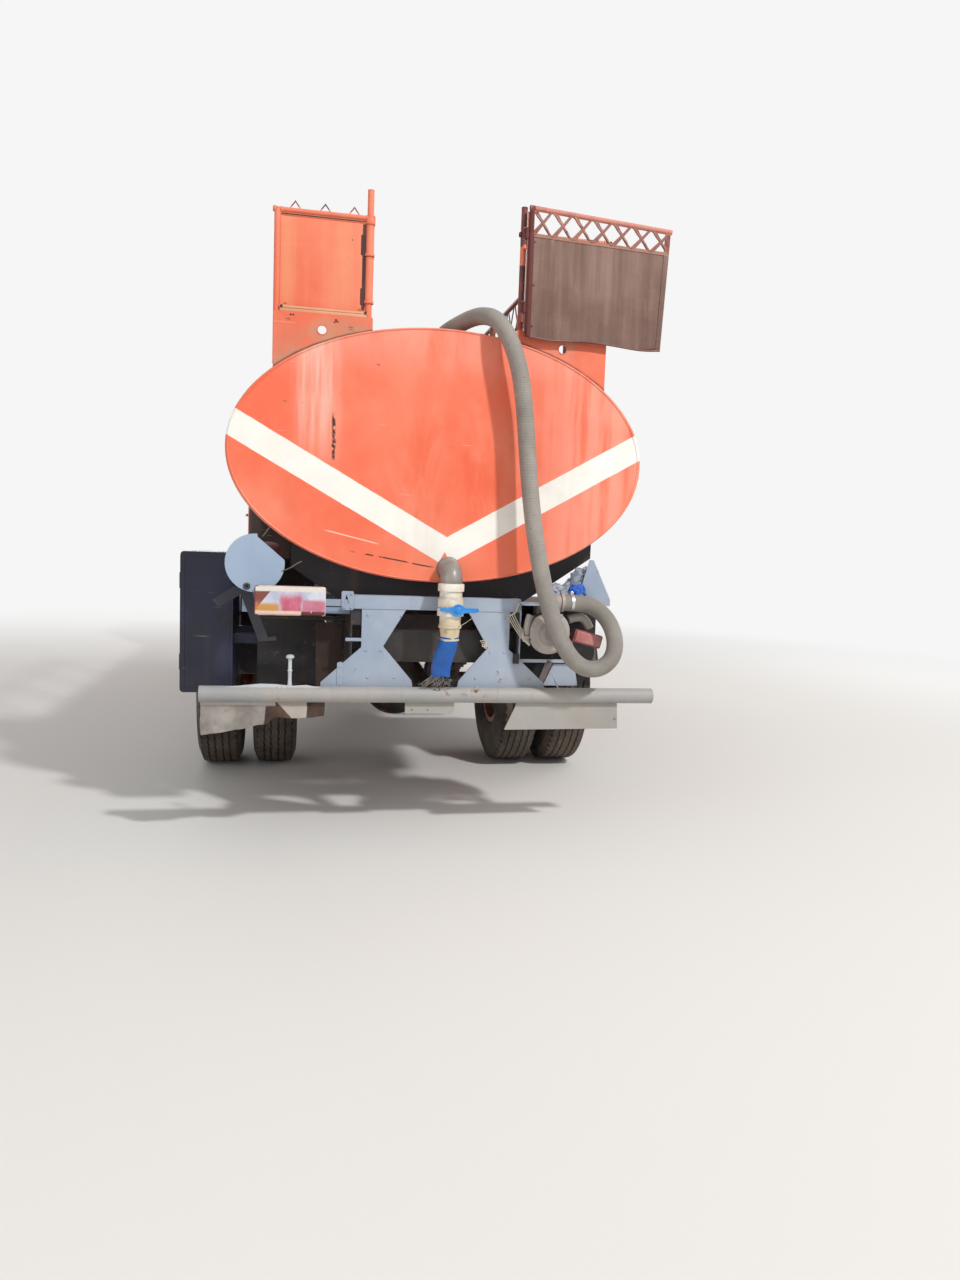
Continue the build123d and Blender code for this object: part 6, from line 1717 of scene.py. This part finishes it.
springs = Form()
for y, top, foot in ((rear_axle_y, 0.720, 0.444), (front_axle_y, 0.582, 0.388)):
    for dy in (-0.050, 0.050):
        springs.rod(
            [
                (0.322, y + dy, top + 0.03), (0.322, y + dy, foot + 0.02), (0.332, y + dy, foot),
                (0.423, y + dy, foot), (0.433, y + dy, foot + 0.02), (0.433, y + dy, top + 0.03)
            ],
            0.009, 10
        )
        for x in (0.322, 0.433):
            springs.bolt((x, y + dy, top + 0.010), upward, 0.014)
    springs.block((0.3775, y, top + 0.003), (0.136, 0.135, 0.014), 0.003)
springs.both_sides()
springs.piece("spring_clamps", iron)

axle_parts = Form()
axle_parts.ring_of_bolts((0, rear_axle_y - 0.062, axle_z), to_rear, 0.190, 14, 0.009)
axle_parts.lathe(
    (0, rear_axle_y - 0.060, axle_z), to_rear,
    [(0.18, -0.01), (0.212, -0.01), (0.212, 0.004), (0.18, 0.006), (0.18, -0.01)], 56
)
axle_parts.lathe((0, rear_axle_y - 0.163, axle_z), to_rear, [(0.022, 0), (0.022, 0.010), (0, 0.010)], 6)
for side in (-1, 1):
    axle_parts.lathe(
        (side * 0.255, rear_axle_y - 0.155, 0.640), to_front, band(0.064, 0.0725, -0.008, 0.008), 36
    )
    axle_parts.rod(
        [
            (side * 0.255, rear_axle_y - 0.225, 0.665), (side * 0.255, rear_axle_y - 0.30, 0.70),
            (side * 0.33, rear_axle_y - 0.34, 0.80), (side * 0.372, rear_axle_y - 0.34, 0.87)
        ],
        0.009, 8, smooth=True
    )
axle_parts.piece("axle_details", iron)

lines = Form()
for x, z in ((0.398, 0.955), (0.398, 0.930), (0.398, 0.905)):
    lines.rod([(x, -3.10, z), (x, 1.05, z)], 0.006)
for i in range(9):
    lines.block((0.404, -3.0 + 0.5 * i, 0.930), (0.008, 0.016, 0.074), 0.002)
lines.rod([(-0.398, -3.30, 0.985), (-0.398, 1.9, 0.985)], 0.009)
lines.piece("air_lines", finishes["black_rubber"])

tank_straps = Form()
for y in (-0.55, 0.20):
    loop = reversed(rounded((0.447, 0.933), (0.557, 1.003), 0.092, 5))
    tank_straps.rod([(x, y, z) for x, z in [(0.447, 0.65), *loop]], 0.006)
tank_straps.lathe(
    (0.80, -0.02, 0.998), (0.25, 0, 1),
    [(0.036, 0), (0.036, 0.02), (0.045, 0.022), (0.045, 0.040), (0.034, 0.046), (0, 0.046)], 28
)
for y0 in (0.550, 1.150):
    for y in (y0 + 0.11, y0 + 0.37):
        tank_straps.lathe((0.560, y, 0.760), to_front, band(0.1105, 0.114, -0.016, 0.016), 44)
    tank_straps.lathe(
        (0.560, y0 + 0.24, 0.650), (0, 0, -1),
        [(0, 0), (0.014, 0), (0.014, 0.014), (0.008, 0.016), (0.008, 0.026), (0, 0.026)], 8
    )
for y in (0.62, 0.95, 1.12):
    tank_straps.lathe((-0.545, y, 0.720), to_front, band(0.1005, 0.1035, -0.012, 0.012), 40)
tank_straps.piece("tank_straps", bolt_iron)

boxes = Form()
for z in (0.80, 1.22):
    boxes.plate(
        rounded((-2.99, -2.94), (z - 0.035, z + 0.035), 0.006, 2), 0.004, (-1.245, 0, 0),
        to_right @ Matrix.Diagonal((1, 1, -1, 1))
    )
    boxes.rod([(-1.250, -2.965, z - 0.04), (-1.250, -2.965, z + 0.04)], 0.006)
boxes.plate(
    rounded((-3.015, -2.395), (0.665, 1.355), 0.02), 0.003, (-1.2445, 0, 0),
    to_right @ Matrix.Diagonal((1, 1, -1, 1)), [rounded((-3.000, -2.410), (0.680, 1.340), 0.014)]
)
boxes.lathe((-1.245, -2.455, 1.02), (-1, 0, 0), [(0.026, 0), (0.026, 0.006), (0.014, 0.010), (0, 0.010)], 20)
boxes.rod([(-1.253, -2.455, 1.02), (-1.262, -2.465, 1.02), (-1.262, -2.53, 1.02)], 0.006)
boxes.plate(
    rounded((-1.232, -0.998), (0.665, 1.355), 0.014), 0.0025, (0, -3.0295, 0),
    holes=[rounded((-1.222, -1.008), (0.675, 1.345), 0.01)]
)
boxes.block((-0.67, 0, 0.9545), (0.47, 0.61, 0.012), 0.004)
for y in (-0.2, 0.2):
    boxes.block((-0.905, y, 0.90), (0.010, 0.035, 0.07), 0.003)
    boxes.rod([(-0.912, y - 0.02, 0.872), (-0.914, y, 0.865), (-0.912, y + 0.02, 0.872)], 0.004)
boxes.piece("box_doors", finishes["side_boxes"])

guards = Form()
for edge_x in (0.633, 1.247):
    arc = [
        (edge_x, rear_axle_y + 0.597 * math.cos(a), axle_z + 0.597 * math.sin(a))
        for a in (math.radians(12 + 156 * i / 30) for i in range(31))
    ]
    guards.rod(arc, 0.006)
for dy in (-0.380, 0.380):
    for x in (0.72, 0.95, 1.15):
        guards.bolt((x, rear_axle_y + dy, 1.008), upward, 0.008)
guards.both_sides()
guards.piece("mudguard_beads", finishes["rear_mudguards"])

# Racks and gate: welds, open pipe ends, the sheets' beads and bolts, and the lattice's twisted bars
rack_parts = Form()
corners = [
    (-rack_outer, rack_rear), (-rack_inner, rack_rear), (rack_outer, rack_rear), (rack_inner, rack_rear),
    (rack_outer, -0.857), (-rack_outer, -0.857)
]
for x, y in corners:
    for side in (-1, 1):
        rim = [(0.0105, side * 0.022), (0.0135, side * 0.017), (0.0115, side * 0.012), (0.0105, side * 0.022)]
        rack_parts.lathe((x, y, rack_top), to_side, rim, 20)
for x in (-rack_inner, rack_inner):
    pipe_end = [(0.0115, -0.012), (0.0115, 0), (0.0155, 0.0005), (0.0155, -0.006), (0.0115, -0.012)]
    rack_parts.lathe((x, rack_rear, 3.060), upward, pipe_end, 20)
rack_parts.rod([(-0.79, rack_rear, rack_top), (-0.801, rack_rear, rack_top)], 0.0145, 12)
for z in (2.556, 2.754, 2.770, 2.900):
    rack_parts.lathe((-rack_inner, rack_rear, z), upward, band(0.0188, 0.0208, -0.003, 0.003), 24)
rack_parts.rod(
    [(-0.768, -3.4615, 2.509), (-0.60, -3.4625, 2.507), (-0.382, -3.4615, 2.510)], 0.0042, 8, smooth=True
)
rack_parts.rod([(-0.766, -3.461, 2.912), (-0.384, -3.461, 2.912)], 0.0025, 6)
for x in (-0.745, -0.405):
    rack_parts.rivet((x, -3.461, 2.524), to_rear, 0.006)
for x in (-0.735, -0.725, -0.45, -0.44):
    rack_parts.rivet((x, -3.4788, 2.452 if x < -0.6 else 2.437), to_rear, 0.005)
for side in (-1, 1):
    rack_parts.lathe(
        (side * 0.577, -3.4785, 2.412), to_rear,
        [(0.020, 0), (0.0235, 0.0005), (0.0225, 0.0025), (0.020, 0.002), (0.020, 0)], 28
    )
for i in range(1, 4):
    for x in (rack_outer, rack_inner):
        rack_parts.lathe((x, rack_rear + rack_bay * i, 2.645 if x < 0.5 else rack_top), to_front,
                         [(0.0105, -0.02), (0.0135, -0.015), (0.0115, -0.011), (0.0105, -0.02)], 16)
for z, height in ((2.905, 0.030), (2.763, 0.014), (2.550, 0.014)):
    rack_parts.lathe(
        (-rack_inner, rack_rear, z), upward,
        [(0.0215, 0), (0.0225, 0.002), (0.0225, height - 0.002), (0.0215, height)], 20
    )
rack_parts.piece("rack_welds", finishes["hose_racks"])
fold = Form()
fold.block((-0.572, -3.4665, 2.4935), (0.398, 0.014, 0.026), 0.004)
fold.plate(
    [(-0.772, 2.500), (-0.368, 2.500), (-0.368, 2.507), (-0.772, 2.511)], 0.003, (0, -3.4735, 0), edge=0.0006
)
fold.piece("sheet_fold", finishes["pale_paint"])
# Painted shadow: a dark strip in the gap beside the left sheet and a dark rod under its top tube; dark rivets
# and bolts on the base plate
shade = Form()
shade.plate(
    [
        (-0.3985, 2.520), (-0.384, 2.520), (-0.384, 2.905), (-0.3985, 2.905), (-0.3985, 2.860),
        (-0.406, 2.856), (-0.406, 2.770), (-0.3985, 2.766), (-0.3985, 2.620), (-0.405, 2.616),
        (-0.405, 2.545), (-0.3985, 2.541)
    ],
    0.0015, (0, -3.4600, 0), edge=0
)
shade.rod([(-0.766, -3.4615, 2.9165), (-0.386, -3.4615, 2.9165)], 0.0035, 6)
for x, z in ((-0.720, 2.470), (-0.708, 2.470), (-0.515, 2.462), (-0.508, 2.455), (-0.520, 2.452)):
    shade.rivet((x, -3.4785, z), to_rear, 0.0045)
for x in (-0.763, -0.380):
    shade.bolt((x, -3.4765, 2.505), to_rear, 0.005)
shade.piece("sheet_shadow_gap", finishes["dark_rust"])

gate_parts = Form()


def on_gate(u, v, out=0.0):
    """A point of the gate's face, u along it from its hinge side and v up from its foot."""
    far = u / gate_width
    high = v / gate_height
    return (0.390 + u + 0.025 * far * high, -3.508 - out, 2.454 + v - (0.022 + 0.021 * high) * far)


hem = [
    (0, 0), (0.06, -0.006), (0.12, -0.009), (0.20, -0.002), (0.28, 0.004), (0.345, 0.006), (0.44, 0.002),
    (0.54, -0.005), (0.60, -0.004), (0.64, 0.000), (gate_width, 0.005)
]
gate_parts.rod([on_gate(u, v, 0.003) for u, v in hem], 0.0042, 8, smooth=True)
gate_parts.rod(
    [on_gate(0.60, 0.004, 0.004), on_gate(0.640, 0.014, 0.007), on_gate(0.670, 0.026, 0.004)], 0.003, 6,
    smooth=True
)
cells = 7
pitch = gate_width / cells
for i in range(cells):
    for start, twist in ((0, 0.0), (0, 0.017), (0.02, 0.006)):
        for rising in (1, 0):
            points = []
            for k in range(8):
                t = k / 7
                u = pitch * (i + start + (1 - start) * t) + twist * (1 - t)
                foot = 0.470 + 0.014 * u / gate_width
                v = foot + (0.588 - foot) * (t if rising else 1 - t)
                points.append(on_gate(min(u, 0.668), v, 0.001 + 0.004 * ((k + rising) % 2)))
            gate_parts.rod(points, 0.0038 if twist else 0.0048, 6)
for u in (0.02, 0.652):
    for v in (0.05, 0.24, 0.44):
        gate_parts.rivet(on_gate(u, v, 0.005), to_rear, 0.005)
gate_parts.block((0.3757, -3.5045, 2.748), (0.0105, 0.003, 0.560), 0.0008)
gate_parts.lathe(
    on_gate(-0.004, gate_height), (1, 0, -0.064),
    [(0.009, -0.008), (0.0125, -0.006), (0.0125, 0.002), (0.009, 0.003), (0.009, -0.008)], 20
)
for z in (2.564, 2.904):
    gate_parts.lathe(
        (rack_inner, -3.492, z + 0.050), upward,
        [(0.011, -0.003), (0.0135, -0.001), (0.0135, 0.002), (0.008, 0.005), (0, 0.006)], 16
    )
gate_parts.piece("gate_details", finishes["gate_bars"], "gate")


def lamp(name, place, target, size, power):
    """A soft square lamp at a place, turned to a target."""
    light = bpy.data.lights.new(name, "AREA")
    light.size = size
    light.energy = power
    holder = bpy.data.objects.new(name, light)
    holder.location = place
    holder.rotation_euler = (Vector(target) - Vector(place)).to_track_quat("-Z", "Y").to_euler()
    bpy.context.scene.collection.objects.link(holder)


lamp("key", (5.0, -10.8, 9.6), (0, -1.5, 1.2), 0.7, 1080)
lamp("fill", (-8, -9, 4.5), (0, -2, 1.4), 6.0, 190)
lamp("side", (9, 3, 5), (0, 0, 1.2), 6.0, 260)
lamp("front", (-3, 12, 6), (0, 1, 1.2), 6.0, 400)

# A pale floor, white where the camera sees it far off
floor_mesh = bmesh.new()
bmesh.ops.create_grid(floor_mesh, x_segments=1, y_segments=1, size=60)
white_level = 0.92
ground = Finish("pale_floor")
ground.wear(Base_Color=tint("dcdad6"), Roughness=0.9)
reach = ground.node(
    "ShaderNodeVectorMath", {"operation": "LENGTH"}, {0: ground.stretched((1, 0.8, 1))}, output="Value"
)
white = ground.node("ShaderNodeEmission", sockets={"Color": (1, 1, 1, 1), "Strength": white_level})
lit = Tone(ground, ground.shader.outputs[0])
faded = ground.node(
    "ShaderNodeMixShader", sockets={0: ground.seen() * reach.ramp(4.0, 11.0), 1: lit, 2: white}
)
ground.feed(ground.tree.nodes["Material Output"].inputs["Surface"], faded)
floor = finished(floor_mesh, "floor", ground.material, creases=0)
floor.parent = None

world = bpy.data.worlds.new("studio")
bpy.context.scene.world = world
world.use_nodes = True
sky = Graph(world.node_tree)
background = sky.tree.nodes["Background"]
background.inputs["Color"].default_value = (1, 1, 1, 1)
level_of_light = {"Value": sky.seen(), "To Min": 0.46, "To Max": white_level}
sky.feed(background.inputs["Strength"], sky.node("ShaderNodeMapRange", sockets=level_of_light))
bpy.context.scene.view_settings.view_transform = "Standard"
